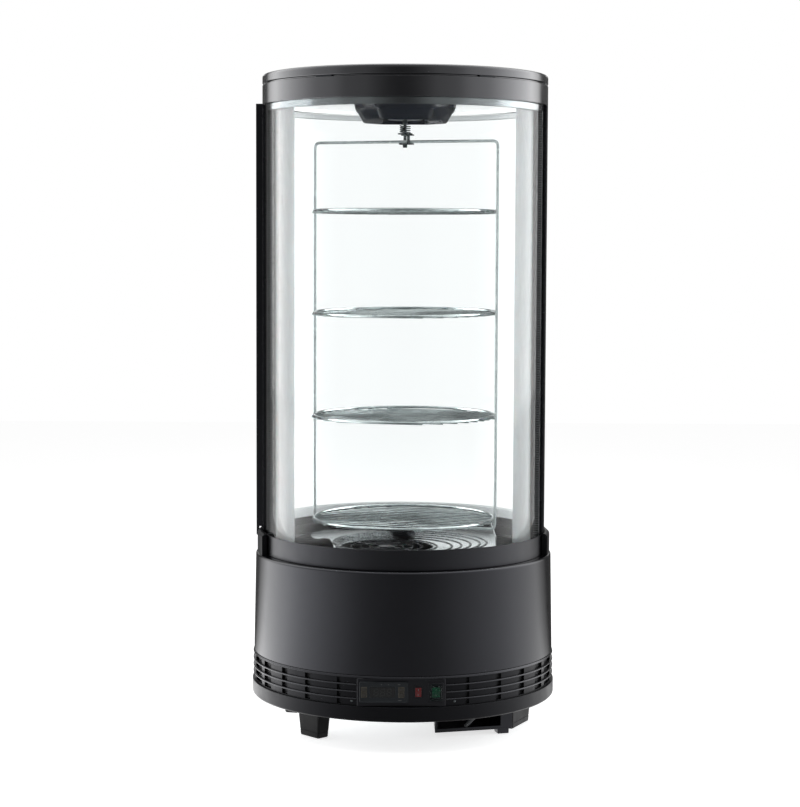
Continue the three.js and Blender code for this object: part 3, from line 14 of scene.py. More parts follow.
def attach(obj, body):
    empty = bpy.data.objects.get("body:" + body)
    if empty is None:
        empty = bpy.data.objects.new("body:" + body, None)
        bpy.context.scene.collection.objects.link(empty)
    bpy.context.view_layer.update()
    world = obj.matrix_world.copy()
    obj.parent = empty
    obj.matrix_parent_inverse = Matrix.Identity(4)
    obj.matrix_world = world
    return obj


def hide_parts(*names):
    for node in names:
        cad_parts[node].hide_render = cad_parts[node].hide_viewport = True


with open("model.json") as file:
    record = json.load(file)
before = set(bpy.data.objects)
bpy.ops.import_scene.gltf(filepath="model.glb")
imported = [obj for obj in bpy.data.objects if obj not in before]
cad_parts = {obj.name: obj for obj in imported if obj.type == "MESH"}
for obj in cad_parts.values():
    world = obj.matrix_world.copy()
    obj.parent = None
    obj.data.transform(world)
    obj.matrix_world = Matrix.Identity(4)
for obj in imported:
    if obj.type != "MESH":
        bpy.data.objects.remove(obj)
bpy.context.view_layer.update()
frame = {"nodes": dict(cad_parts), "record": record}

# %% [markdown]
# All lengths below are typed in millimetres, as they are in the CAD source, and turned into metres once, where a
# mesh is made. An azimuth is an angle in degrees from the front (-Y), positive towards the right (+X). The levels
# are those of the cabinet's sections, and the gap is the play that is left between two fitted pieces.

# %% Units and levels
MM = 0.001
GAP = 0.3
BAND_LOW, VENT_LOW, VENT_HIGH, BAND_HIGH = 52.0, 76.5, 122.5, 126.0
LEDGE, RING_LOW, RING_HIGH, LID_LOW, LID_HIGH = 294.0, 1049.0, 1082.0, 1085.0, 1100.0


def on_circle(radius, azimuth):
    angle = math.radians(azimuth)
    return radius * math.sin(angle), -radius * math.cos(angle)


print("vent band", BAND_LOW, "to", BAND_HIGH, "- glass section from", LEDGE, "- lid up to", LID_HIGH)

# %% [markdown]
# The camera stands where the real one stood. Its place, focal length and tilt were worked out from the ellipses
# of the base, the top ring and the lid, so that a pixel of the render lies on the same spot as in the photo.

# %% Camera
TILT_DOWN, ROLL = 4.35, 0.231
camera_data = bpy.data.cameras.new("camera")
camera_data.lens = 90.51
camera_data.sensor_width = 36
camera = bpy.data.objects.new("camera", camera_data)
camera.location = (-0.0068, -3.460, 0.8088)
camera.rotation_mode = "QUATERNION"
camera.rotation_quaternion = (
    Quaternion((1, 0, 0), math.radians(90 - TILT_DOWN)) @ Quaternion((0, 0, 1), math.radians(ROLL)))
bpy.context.scene.collection.objects.link(camera)
bpy.context.scene.camera = camera
bpy.context.scene.view_settings.view_transform = "Standard"
print("camera at", tuple(camera.location))

# %% [markdown]
# Materials, the world and the floor are all trees of nodes. Adding each node by hand takes many lines, so one helper
# adds it, sets its values and links it to the nodes before it. Another does the same for a step of arithmetic.


# %% Node helpers
def add_node(tree, kind, inputs=(), **settings):
    """A node with its settings. Each input gets a value, or a link where the value is another node's output."""
    made = tree.nodes.new(kind)
    for key, value in settings.items():
        setattr(made, key, value)
    for key, value in dict(inputs).items():
        if isinstance(value, bpy.types.NodeSocket):
            tree.links.new(value, made.inputs[key])
        else:
            made.inputs[key].default_value = value
    return made


def maths(tree, operation, *values):
    return add_node(tree, "ShaderNodeMath", enumerate(values), operation=operation).outputs[0]


def along(tree, direction, axis):
    return add_node(tree, "ShaderNodeVectorMath", {0: direction, 1: axis}, operation="DOT_PRODUCT").outputs["Value"]


def rising(tree, value, low, high):
    """Nought up to the low value, one from the high value on."""
    return add_node(tree, "ShaderNodeMapRange", {"Value": value, "From Min": low, "From Max": high}).outputs["Result"]


def colour_ramp(tree, position, stops):
    """A colour that runs through the given stops, which are pairs of a place from nought to one and a colour."""
    ramp = add_node(tree, "ShaderNodeValToRGB", {"Fac": position})
    elements = ramp.color_ramp.elements
    while len(elements) < len(stops):
        elements.new(0.5)
    for element, (place, colour) in zip(elements, stops):
        element.position = place
        element.color = (*colour, 1)
    return ramp.outputs["Color"]


# %% [markdown]
# The cabinet was photographed on a white sweep between two big side lights. That is why its black drum is dark in the
# middle, pale at both sides and dark again at its very edges: a shiny drum mirrors the dark room behind the camera,
# then the lights, then the black boards that stand behind the cabinet. Lamps alone would give hard patches of light.
# Instead one ramp says how bright the studio is in each direction, and only mirrored rays see it. What the camera
# sees directly or through glass is plain white. Standing surfaces mirror the air, and low ones mirror the floor.

# %% Studio ramps
STUDIO_AIR = ((0.0, 0.04), (0.06, 0.19), (0.15, 0.22), (0.22, 0.38), (0.35, 0.45), (0.48, 0.74), (0.62, 0.93),
              (0.775, 1.0), (0.865, 0.42), (0.9, 0.03))
STUDIO_FLOOR = ((0.0, 0.12), (0.05, 0.18), (0.13, 0.36), (0.25, 0.6), (0.39, 0.84), (0.5, 1.0), (0.63, 0.96),
                (0.75, 0.8), (0.82, 0.3), (0.89, 0.03))
AIR_MIRRORED, FLOOR_MIRRORED = 2.9, 2.86
AIR_LEFT, FLOOR_LEFT = -0.15, 0.3
STUDIO_TURN = 3.0


def mirrored_studio(tree, direction, levels, strength, left):
    """Brightness of the studio along a direction, from the camera's side (ramp start) to behind the cabinet (end)."""
    turn = math.radians(STUDIO_TURN)
    facing = rising(tree, along(tree, direction, (math.sin(turn), math.cos(turn), 0)), -1, 1)
    level = colour_ramp(tree, facing, [(place, (level, level, level)) for place, level in levels])
    side = maths(tree, "ADD", along(tree, direction, (-left, 0, 0)), 1)
    return maths(tree, "MULTIPLY", level, maths(tree, "MULTIPLY", side, strength))


def seen_rays(tree):
    """One for rays from the camera or through glass, and one for these and mirrored rays together."""
    rays = add_node(tree, "ShaderNodeLightPath").outputs
    straight = maths(tree, "LESS_THAN", rays["Glossy Depth"], 0.5)
    through = maths(tree, "MULTIPLY", rays["Is Transmission Ray"], straight)
    seen = maths(tree, "MAXIMUM", rays["Is Camera Ray"], through)
    mirrored = maths(tree, "MAXIMUM", rays["Is Transmission Ray"], rays["Is Glossy Ray"])
    return seen, maths(tree, "MAXIMUM", seen, mirrored)


print("studio ramp stops:", len(STUDIO_AIR), len(STUDIO_FLOOR))

# %% [markdown]
# The world holds the ramp for the air. The black boards end at some height, and the white sweep shows above them, so
# a ray that runs straight back and a little upwards meets white: that is what the polished floor plate mirrors.

# %% World
WHITE = (1, 1, 1, 1)
AMBIENT = 0.4
ABOVE_BOARDS, STRAIGHT_BACK = (0.1, 0.13), (0.9, 0.95)
world = bpy.data.worlds.new("studio")
bpy.context.scene.world = world
world.use_nodes = True
tree = world.node_tree
tree.nodes.clear()
seen, shown = seen_rays(tree)
direction = add_node(tree, "ShaderNodeTexCoord").outputs["Generated"]
over_boards = maths(tree, "MULTIPLY", rising(tree, along(tree, direction, (0, 0, 1)), *ABOVE_BOARDS),
                    rising(tree, along(tree, direction, (0, 1, 0)), *STRAIGHT_BACK))
studio = maths(tree, "MAXIMUM", over_boards, mirrored_studio(tree, direction, STUDIO_AIR, AIR_MIRRORED, AIR_LEFT))
mirrored = maths(tree, "MULTIPLY", studio, maths(tree, "SUBTRACT", 1, seen))
ambient = add_node(tree, "ShaderNodeBackground", {"Color": WHITE, "Strength": AMBIENT})
white = add_node(tree, "ShaderNodeBackground", {"Color": WHITE, "Strength": maths(tree, "ADD", mirrored, seen)})
pick = add_node(tree, "ShaderNodeMixShader", {"Fac": shown, 1: ambient.outputs[0], 2: white.outputs[0]})
add_node(tree, "ShaderNodeOutputWorld", {"Surface": pick.outputs[0]})
print("world nodes:", len(tree.nodes))

# %% [markdown]
# Three soft lamps light what is pale: the columns, the wires, the floor plate and the floor. Glossy rays don't see
# them, because the ramp already holds the lights as the drum mirrors them.

# %% Lamps
LAMP_AIM = Vector((0, 0, 0.6))


def softbox(name, azimuth, distance, height, size, power):
    """A square lamp that faces the middle of the cabinet, with its place and size in metres."""
    data = bpy.data.lights.new(name, "AREA")
    data.shape = "RECTANGLE"
    data.size = data.size_y = size
    data.energy = power
    lamp = bpy.data.objects.new(name, data)
    lamp.location = (*on_circle(distance, azimuth), height)
    lamp.rotation_mode = "QUATERNION"
    lamp.rotation_quaternion = (LAMP_AIM - lamp.location).to_track_quat("-Z", "Y")
    lamp.visible_camera = lamp.visible_glossy = False
    bpy.context.scene.collection.objects.link(lamp)
    print(name, power, "W")


softbox("light_left", -108, 2.4, 0.8, 2.6, 43)
softbox("light_right", 108, 2.4, 0.8, 2.6, 50)
softbox("light_top", 0, 0.4, 3.0, 2.2, 16)

# %% [markdown]
# The floor is a pale sheet. Where the camera looks at it, a little of its own light brings it up to white, and the
# cabinet's soft shadow still shows, because the shadow comes from the part of the shader that the lamps light.
# Mirrored rays see the ramp for the floor there, by the heading in which the spot lies.

# %% Floor
FLOOR_HALF = 6.0
corners = [(-FLOOR_HALF, -FLOOR_HALF, 0), (FLOOR_HALF, -FLOOR_HALF, 0), (FLOOR_HALF, FLOOR_HALF, 0),
           (-FLOOR_HALF, FLOOR_HALF, 0)]
floor_mesh = bpy.data.meshes.new("floor")
floor_mesh.from_pydata(corners, [], [(0, 1, 2, 3)])
floor = bpy.data.objects.new("floor", floor_mesh)
bpy.context.scene.collection.objects.link(floor)
paper = bpy.data.materials.new("floor_paper")
paper.use_nodes = True
tree = paper.node_tree
tree.nodes.clear()
seen, shown = seen_rays(tree)
place = add_node(tree, "ShaderNodeTexCoord").outputs["Object"]
lit = add_node(tree, "ShaderNodeBsdfDiffuse", {"Color": (0.8, 0.8, 0.8, 1)}).outputs[0]
away = add_node(tree, "ShaderNodeVectorMath", {0: place}, operation="LENGTH").outputs["Value"]
own_light = add_node(tree, "ShaderNodeMapRange", {
    "Value": away, "From Min": 0.5, "From Max": 1.8, "To Min": 0.68, "To Max": 0.65}).outputs["Result"]
own = add_node(tree, "ShaderNodeEmission", {"Strength": own_light}).outputs[0]
both = add_node(tree, "ShaderNodeAddShader", {0: lit, 1: own}).outputs[0]
heading = add_node(tree, "ShaderNodeVectorMath", {0: place}, operation="NORMALIZE").outputs["Vector"]
studio = mirrored_studio(tree, heading, STUDIO_FLOOR, FLOOR_MIRRORED, FLOOR_LEFT)
mirrored = add_node(tree, "ShaderNodeEmission", {"Strength": studio}).outputs[0]
unseen = add_node(tree, "ShaderNodeMixShader", {"Fac": shown, 1: lit, 2: mirrored}).outputs[0]
pick = add_node(tree, "ShaderNodeMixShader", {"Fac": seen, 1: unseen, 2: both}).outputs[0]
add_node(tree, "ShaderNodeOutputMaterial", {"Surface": pick})
floor_mesh.materials.append(paper)
print("floor:", 2 * FLOOR_HALF, "m wide")

# %% [markdown]
# Most surfaces of this cabinet are smooth mouldings and metal, so a finish is one Principled shader with two things
# laid over it: a soft mottle in the roughness, as handling and moulding leave it, and a very fine grain in the
# surface. Noise in object space does both, because the pieces keep their place and need no UV map.

# %% Finish helpers
FINISH = {}


def shader_of(material):
    return material.node_tree.nodes["Principled BSDF"]


def new_finish(name, colour, roughness, metallic=0.0, **sockets):
    material = bpy.data.materials.new(name)
    material.use_nodes = True
    values = {"Base Color": (*colour, 1), "Roughness": roughness, "Metallic": metallic, **sockets}
    for key, value in values.items():
        shader_of(material).inputs[key].default_value = value
    FINISH[name] = material
    return material


def feed(material, socket, source):
    material.node_tree.links.new(source, shader_of(material).inputs[socket])


def object_place(material):
    return add_node(material.node_tree, "ShaderNodeTexCoord").outputs["Object"]


def noise(material, scale, detail=3.0, stretch=(1, 1, 1)):
    """Noise in object space, in cells of 1/scale metres, drawn out along an axis by a small stretch."""
    tree = material.node_tree
    place = add_node(tree, "ShaderNodeMapping", {"Vector": object_place(material), "Scale": stretch})
    return add_node(tree, "ShaderNodeTexNoise", {
        "Vector": place.outputs["Vector"], "Scale": scale, "Detail": detail, "Roughness": 0.55}).outputs["Fac"]


def vary_roughness(material, source, low, high):
    spread = add_node(material.node_tree, "ShaderNodeMapRange", {
        "Value": source, "From Min": 0.3, "From Max": 0.7, "To Min": low, "To Max": high})
    feed(material, "Roughness", spread.outputs["Result"])


def vary_colour(material, source, dark, pale):
    feed(material, "Base Color", colour_ramp(material.node_tree, source, ((0.32, dark), (0.7, pale))))


def add_grain(material, source, strength, distance=0.0002):
    bump = add_node(material.node_tree, "ShaderNodeBump", {
        "Strength": strength, "Distance": distance, "Height": source})
    feed(material, "Normal", bump.outputs["Normal"])


def moulded(name, dark, pale, low, high, grain_scale=900, grain=0.12, specular=0.5, **sockets):
    """Moulded plastic, paint or rubber: mottled colour, mottled gloss and a fine grain."""
    material = new_finish(name, pale, (low + high) / 2, **{"Specular IOR Level": specular, **sockets})
    vary_colour(material, noise(material, 14), dark, pale)
    vary_roughness(material, noise(material, 45, 4), low, high)
    add_grain(material, noise(material, grain_scale, 2), grain)


def metal(name, dark, pale, low, high, scale=60, stretch=(1, 1, 1), grain=0.1, metallic=1.0):
    """Bare or plated metal: the mottle is drawn out along the direction of rolling or drawing."""
    material = new_finish(name, pale, (low + high) / 2, metallic)
    vary_colour(material, noise(material, scale, 4, stretch), dark, pale)
    vary_roughness(material, noise(material, scale * 3, 4, stretch), low, high)
    add_grain(material, noise(material, scale * 8, 3, stretch), grain)


# %% [markdown]
# The blacks differ on the real cabinet. The drum is a glossy moulding, the top ring and the lid are lacquered, the
# vent band and the sill are satin, the pillars are dark anodised metal, and the feet are hard rubber. What tells them
# apart is gloss and not colour, so roughness and specular level do most of the work. All but the rubber mirror a
# little cooler than white.

# %% Black finishes
COOL = {"Specular Tint": (0.88, 0.9, 1.0, 1)}
DEEP_BLACK = (0.0028, 0.0027, 0.0034), (0.0045, 0.0044, 0.0054)
SOFT_BLACK = (0.004, 0.004, 0.0046), (0.0065, 0.0064, 0.0072)
moulded("gloss_black", *DEEP_BLACK, 0.15, 0.21, grain=0.04, specular=0.38, **COOL)
moulded("lacquer_black", *DEEP_BLACK, 0.18, 0.26, grain=0.04, **COOL, **{"Coat Weight": 1.0, "Coat Roughness": 0.12})
moulded("satin_black", *SOFT_BLACK, 0.3, 0.38, grain=0.15, specular=0.36, **COOL)
moulded("rim_black", *SOFT_BLACK, 0.22, 0.3, grain=0.1, specular=0.42, **COOL)
# A darker, duller copy of the satin black, used as painted shade: it darkens the recessed wall of the vent band and
# the rear collar.
moulded("painted_shade_black", (0.0035, 0.0035, 0.004), (0.005, 0.005, 0.0056), 0.33, 0.43, grain=0.15, specular=0.15, **COOL)
moulded("dark_metal", (0.004, 0.004, 0.0048), (0.008, 0.008, 0.0095), 0.16, 0.26, grain=0.06, specular=0.3, **COOL)
moulded("hard_rubber", (0.005, 0.005, 0.0055), (0.01, 0.01, 0.011), 0.5, 0.62, 1400, 0.3, specular=0.13)
print("blacks:", ", ".join(FINISH))

# %% [markdown]
# The instruments and the linings are dull mouldings in their own colours. The white ceiling carries a little light
# of its own, because it is white in the photo and no lamp of this studio reaches it.

# %% Coloured mouldings
moulded("slate_bezel", (0.011, 0.014, 0.017), (0.018, 0.022, 0.026), 0.4, 0.5, 2600, 0.35, specular=0.3)
moulded("slate_plastic", (0.007, 0.009, 0.014), (0.011, 0.014, 0.02), 0.14, 0.2, grain=0.05, specular=0.3)
moulded("display_black", (0.003, 0.0035, 0.004), (0.005, 0.0055, 0.006), 0.08, 0.14, grain=0.02)
moulded("unlit_segment", (0.012, 0.014, 0.014), (0.02, 0.022, 0.022), 0.3, 0.4, grain=0.02)
moulded("pale_print", (0.09, 0.095, 0.095), (0.13, 0.135, 0.135), 0.5, 0.6)
moulded("beige_button", (0.024, 0.022, 0.017), (0.036, 0.032, 0.025), 0.5, 0.6, 2600)
moulded("beige_frame", (0.07, 0.062, 0.045), (0.1, 0.088, 0.066), 0.5, 0.6, 2600)
moulded("red_lens", (0.1, 0.006, 0.008), (0.14, 0.011, 0.013), 0.2, 0.3, grain=0.05)
moulded("green_lens", (0.0, 0.034, 0.015), (0.001, 0.056, 0.025), 0.16, 0.24, grain=0.05)
moulded("grey_hose", (0.07, 0.074, 0.078), (0.11, 0.115, 0.12), 0.3, 0.4)
moulded("foam_liner", (0.016, 0.019, 0.025), (0.024, 0.028, 0.036), 0.5, 0.6, 400, 0.5)
moulded("pale_rail", (0.76, 0.78, 0.79), (0.83, 0.85, 0.86), 0.3, 0.4, grain=0.1)
moulded("white_panel", (0.9, 0.91, 0.91), (0.94, 0.95, 0.95), 0.35, 0.45, grain=0.2,
        **{"Emission Color": WHITE, "Emission Strength": 0.3})

# %% [markdown]
# The metals run from bright chromed wire to dull zinc. Drawn and rolled ones are streaked along one axis: the spacer
# bars upright, the floor plate from side to side.

# %% Metals
metal("chrome_wire", (0.42, 0.47, 0.47), (0.58, 0.63, 0.63), 0.08, 0.16)
metal("frame_wire", (0.4, 0.45, 0.45), (0.52, 0.57, 0.57), 0.2, 0.3, metallic=0.4)
metal("spacer_metal", (0.14, 0.155, 0.16), (0.18, 0.195, 0.2), 0.12, 0.2, 14)
metal("polished_steel", (0.78, 0.81, 0.82), (0.88, 0.9, 0.91), 0.08, 0.16, 30, (1, 12, 1), 0.05, metallic=0.75)
metal("dark_steel", (0.06, 0.068, 0.07), (0.12, 0.132, 0.135), 0.22, 0.34)
metal("zinc_steel", (0.3, 0.32, 0.33), (0.5, 0.52, 0.53), 0.3, 0.45)
metal("satin_aluminium", (0.5, 0.53, 0.54), (0.66, 0.69, 0.7), 0.3, 0.42, 40, (1, 1, 0.06))
metal("copper_and_fins", (0.42, 0.3, 0.22), (0.62, 0.5, 0.42), 0.3, 0.45, 80)

# %% [markdown]
# Clear glass bends light, and so it casts a dark shadow in a plain path tracer. The panes let shadow rays pass
# instead, with a trace of green. The light columns are frosted, so light spreads inside them.

# %% Glass and clear plastic
SHADOW_TINT = (0.975, 0.985, 0.982, 1)
glass = new_finish("clear_glass", (0.99, 0.998, 0.998), 0.0, IOR=1.12, **{"Transmission Weight": 1.0})
vary_roughness(glass, noise(glass, 9, 5), 0.0, 0.012)
tree = glass.node_tree
shadow_ray = add_node(tree, "ShaderNodeLightPath").outputs["Is Shadow Ray"]
clear = add_node(tree, "ShaderNodeBsdfTransparent", {"Color": SHADOW_TINT}).outputs[0]
passing = add_node(tree, "ShaderNodeMixShader", {"Fac": shadow_ray, 1: shader_of(glass).outputs[0], 2: clear})
tree.links.new(passing.outputs[0], tree.nodes["Material Output"].inputs["Surface"])

hood_plastic = new_finish("clear_plastic", (0.66, 0.74, 0.72), 0.1, IOR=1.16, **{"Transmission Weight": 1.0})
vary_roughness(hood_plastic, noise(hood_plastic, 60, 4), 0.03, 0.1)
add_grain(hood_plastic, noise(hood_plastic, 300, 2), 0.05)

frosted = new_finish("frosted_tube", (0.42, 0.45, 0.46), 0.4,
                     **{"Subsurface Weight": 0.2, "Specular IOR Level": 0.2})
vary_roughness(frosted, noise(frosted, 200, 4), 0.32, 0.5)
add_grain(frosted, noise(frosted, 1200, 2), 0.25)
print("finishes:", len(FINISH))

# %% [markdown]
# Every new piece starts as a list of corner points and faces. First come the outlines. Each one's corners are
# rounded, because no real edge is perfectly sharp, and it is the rounded edges that catch the light.


# %% Outlines
class Shape:
    """Corner points in millimetres and faces, gathered from several simple solids."""

    def __init__(self):
        self.points, self.faces = [], []

    def add(self, points, faces):
        base = len(self.points)
        self.points += points
        self.faces += [[base + i for i in face] for face in faces]
        return self


def rounded(profile, radius, steps=3):
    """The same closed outline with each corner replaced by a small arc, where there is room for it."""
    result = []
    count = len(profile)
    for i, corner in enumerate(profile):
        here = Vector(corner)
        back, ahead = Vector(profile[i - 1]) - here, Vector(profile[(i + 1) % count]) - here
        reach = min(radius, back.length * 0.45, ahead.length * 0.45)
        if here.x == 0 or reach < 0.02:
            result.append(tuple(here))
            continue
        start, end = here + back.normalized() * reach, here + ahead.normalized() * reach
        for k in range(steps + 1):
            t = k / steps
            result.append(tuple(start * (1 - t) ** 2 + here * 2 * t * (1 - t) + end * t ** 2))
    return result


def slab(width, depth, corner, steps=4):
    """A rounded rectangle about the middle."""
    return rounded([(width / 2, -depth / 2), (width / 2, depth / 2), (-width / 2, depth / 2),
                    (-width / 2, -depth / 2)], corner, steps)


def block(inner, outer, low, high):
    """The plain oblong profile of a ring."""
    return [(inner, low), (outer, low), (outer, high), (inner, high)]


def circle(radius, count, x=0.0, y=0.0, start=0.0):
    turns = [2 * math.pi * (k + start) / count for k in range(count)]
    return [(x + radius * math.cos(t), y + radius * math.sin(t)) for t in turns]


# %% [markdown]
# The workhorse is the lathe: a closed profile of (radius, height) points that turns about the upright axis, all the
# way round for the drum or part of the way for a pane. Straight pieces are prisms, which are outlines raised between
# two levels, and pieces that change from level to level are lofts, whose outlines are skinned one to the next.

# %% Lathe, prism and loft
ARC_STEP = 1.5


def lathe(profile, start=None, end=None, step=ARC_STEP, centre=(0, 0)):
    """Turns a closed profile about the upright axis, between two azimuths if they are given."""
    whole = start is None
    low, high = (0.0, 360.0) if whole else (start, end)
    count = max(1, math.ceil((high - low) / step))
    rings = count if whole else count + 1
    points, faces = [], []
    for k in range(rings):
        azimuth = low + (high - low) * k / count
        for radius, z in profile:
            x, y = on_circle(radius, azimuth)
            points.append((x + centre[0], y + centre[1], z))
    size = len(profile)
    for k in range(count):
        here, after = k * size, ((k + 1) % rings) * size
        for i in range(size):
            j = (i + 1) % size
            if profile[i][0] == 0 and profile[j][0] == 0:
                continue
            faces.append((here + i, here + j, after + j, after + i))
    if not whole:
        faces.append(tuple(range(size)))
        faces.append(tuple(range(rings * size - 1, (rings - 1) * size - 1, -1)))
    return points, faces


def spun(profile, corner, *span, steps=3, **more):
    """A lathe of the profile with its corners rounded."""
    return lathe(rounded(profile, corner, steps), *span, **more)


def prism(outline, low, high, inset=0.0):
    """An outline in plan raised between two levels, its rim drawn in at the top and bottom by the inset."""
    count = len(outline)
    middle = sum((Vector(p) for p in outline), Vector((0, 0))) / count
    levels = [(low, inset), (low + inset, 0), (high - inset, 0), (high, inset)] if inset else [(low, 0), (high, 0)]
    points, faces = [], []
    for z, shrink in levels:
        for p in outline:
            away = Vector(p) - middle
            q = middle + away * max(0.0, 1 - shrink / max(away.length, 1e-6))
            points.append((q.x, q.y, z))
    for k in range(len(levels) - 1):
        for i in range(count):
            j = (i + 1) % count
            faces.append((k * count + i, k * count + j, (k + 1) * count + j, (k + 1) * count + i))
    top = (len(levels) - 1) * count
    faces.append(tuple(range(count - 1, -1, -1)))
    faces.append(tuple(range(top, top + count)))
    return points, faces


def box(width, depth, low, high, x=0, y=0, corner=1.0, edge=0.5):
    return prism([(px + x, py + y) for px, py in slab(width, depth, corner, 3)], low, high, edge)


def loft(sections, ring=False):
    """Outlines of one length at rising levels, skinned, and capped or joined to a ring."""
    count = len(sections[0][1])
    points = [(x, y, level) for level, outline in sections for x, y in outline]
    last = len(sections) if ring else len(sections) - 1
    faces = []
    for k in range(last):
        here, after = k * count, ((k + 1) % len(sections)) * count
        faces += [(here + i, here + (i + 1) % count, after + (i + 1) % count, after + i) for i in range(count)]
    if not ring:
        faces.append(tuple(range(count - 1, -1, -1)))
        faces.append(tuple(range(len(points) - count, len(points))))
    return points, faces


def turned(points, degrees):
    turn = Matrix.Rotation(math.radians(degrees), 3, "Z")
    return [tuple(turn @ Vector(p)) for p in points]


def moved(solid, x=0, y=0, z=0, degrees=0):
    points, faces = solid
    if degrees:
        points = turned(points, degrees)
    return [(px + x, py + y, pz + z) for px, py, pz in points], faces


# %% [markdown]
# One function turns a shape into an object. It merges doubled points, shades the faces smooth up to a set angle, and
# weights the normals by face area, so that the flats stay flat and only the small rounds shine.


# %% Making a piece
def make(name, shape, finish, body="cabinet", stands_for=(), smooth=35, turn=0, edge=0.0):
    """Makes the object, gives it its finish, and lets it ride on a body of the frame."""
    if not isinstance(shape, Shape):
        shape = Shape().add(*shape)
    points = turned(shape.points, turn) if turn else shape.points
    mesh = bpy.data.meshes.new(name)
    mesh.from_pydata([(x * MM, y * MM, z * MM) for x, y, z in points], [], shape.faces)
    work = bmesh.new()
    work.from_mesh(mesh)
    bmesh.ops.remove_doubles(work, verts=work.verts, dist=1e-7)
    bmesh.ops.recalc_face_normals(work, faces=work.faces)
    work.to_mesh(mesh)
    work.free()
    mesh.shade_smooth()
    mesh.set_sharp_from_angle(angle=math.radians(smooth))
    mesh.materials.append(FINISH[finish])
    piece = bpy.data.objects.new(name, mesh)
    bpy.context.scene.collection.objects.link(piece)
    if edge:
        bevel = piece.modifiers.new("soft_edges", "BEVEL")
        bevel.width = edge * MM
        bevel.segments = 2
        bevel.limit_method = "ANGLE"
    weighted = piece.modifiers.new("weighted_normals", "WEIGHTED_NORMAL")
    weighted.keep_sharp = True
    weighted.weight = 100
    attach(piece, body)
    if stands_for:
        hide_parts(*stands_for)
    print(f"{name}: {len(mesh.polygons)} faces")


# %% [markdown]
# The base drum is one tapered moulding. Its profile is the CAD's, with rounded edges and twice as many steps round,
# so that the long soft reflections down its sides run without facets.

# %% Base housing
DRUM_FOOT = BAND_HIGH + GAP
make("base_drum", spun([
    (255.7, DRUM_FOOT), (252.5, LEDGE - 2.5), (250.0, LEDGE), (205.0, LEDGE), (205.0, LEDGE - 4.0),
    (249.0, LEDGE - 4.0), (252.2, DRUM_FOOT),
], 1.2), "gloss_black", stands_for=["base_housing"])

# %% [markdown]
# The louvred vent band is the showpiece of the base. On the real moulding the openings are made by a tool that
# pulls straight out, so they are cut parallel to the depth and look wider towards the sides. Cutting them with a
# Boolean would leave ragged faces. Here the wall is built as the posts that are left between the openings. Each
# opening is a stretch of X at the front, at the sides or at the rear.

# %% Posts of the vent band
WALL, WALL_INNER, SKIRT = 254.0, 251.0, 258.5
PANEL_LEFT, PANEL_RIGHT = -74.3, 68.3
SIDE_WINDOWS = ((24.1, 6.03), (37.7, 9.0), (50.1, 9.54), (62.7, 12.6), (73.5, 12.6))
REAR_WINDOWS, REAR_HALF = (-90, -30, 30, 90), 26


def azimuth_of(x, radius, rear=False):
    azimuth = math.degrees(math.asin(x / radius))
    return 180 - azimuth if rear else azimuth


openings = [(PANEL_LEFT, PANEL_RIGHT, False)]
openings += [(centre - REAR_HALF, centre + REAR_HALF, True) for centre in REAR_WINDOWS]
for azimuth, width in SIDE_WINDOWS:
    x, _ = on_circle(WALL, azimuth)
    openings += [(centre - width / 2, centre + width / 2, False) for centre in (x, -x)]


def band_posts(low, high):
    """The wall between the openings, whose cheeks run straight back."""
    spans = []
    for left, right, rear in openings:
        first, second = (right, left) if rear else (left, right)
        spans.append([azimuth_of(x, radius, rear) for radius in (WALL, WALL_INNER) for x in (first, second)])
    spans.sort()
    posts = Shape()
    for i, span in enumerate(spans):
        after = spans[(i + 1) % len(spans)]
        wrap = 360 if i == len(spans) - 1 else 0
        start, end = span[1], after[0] + wrap
        inner_start, inner_end = span[3], after[2] + wrap
        count = max(1, math.ceil((end - start) / ARC_STEP))
        points, faces = [], []
        for k in range(count + 1):
            t = k / count
            outer = on_circle(WALL, start + (end - start) * t)
            inner = on_circle(WALL_INNER, inner_start + (inner_end - inner_start) * t)
            points += [(*outer, low), (*outer, high), (*inner, high), (*inner, low)]
        for k in range(count):
            a, b = 4 * k, 4 * (k + 1)
            faces += [(a + i, a + (i + 1) % 4, b + (i + 1) % 4, b + i) for i in range(4)]
        faces += [(0, 1, 2, 3), (4 * count + 3, 4 * count + 2, 4 * count + 1, 4 * count)]
        posts.add(points, faces)
    return posts


print("openings in each row:", len(openings))

# %% [markdown]
# Three ribs run round over the posts without a break, but for the bay of the control panel. Their crests are what
# catches the light in the photo, so the ribs and the shoulder above them get a finish that shines a little more than
# the recessed wall. The wall itself gets a darker, duller copy of the satin black, which is painted shade for the
# recess.

# %% Vent band
ROW = (VENT_HIGH - VENT_LOW) / 4
SPIGOT_TOP = 132.0
panel_span = (azimuth_of(PANEL_RIGHT, WALL), 360 + azimuth_of(PANEL_LEFT, WALL))
band, rims = Shape(), Shape()
band.add(*spun([(WALL_INNER, BAND_LOW), (256.0, BAND_LOW), (SKIRT, BAND_LOW + 2.5), (SKIRT, VENT_LOW),
                (WALL_INNER, VENT_LOW)], 0.9))
rims.add(*spun([(249.5, VENT_HIGH), (257.4, VENT_HIGH), (256.0, BAND_HIGH), (251.9, BAND_HIGH), (251.9, SPIGOT_TOP),
                (249.4, SPIGOT_TOP)], 0.8))
for low, high in ((VENT_LOW - 0.5, VENT_LOW + 1.6), (VENT_HIGH - 1.6, VENT_HIGH + 0.5)):
    band.add(*spun(block(WALL_INNER, WALL, low, high), 0.3, *panel_span))
for i in (1, 2, 3):
    z = VENT_LOW + i * ROW
    rims.add(*spun([(WALL_INNER, z - 1.6), (WALL, z - 1.6), (257.0, z - 0.9), (257.4, z + 0.2), (256.6, z + 1.3),
                    (WALL, z + 1.6), (WALL_INNER, z + 1.6)], 0.5, *panel_span))
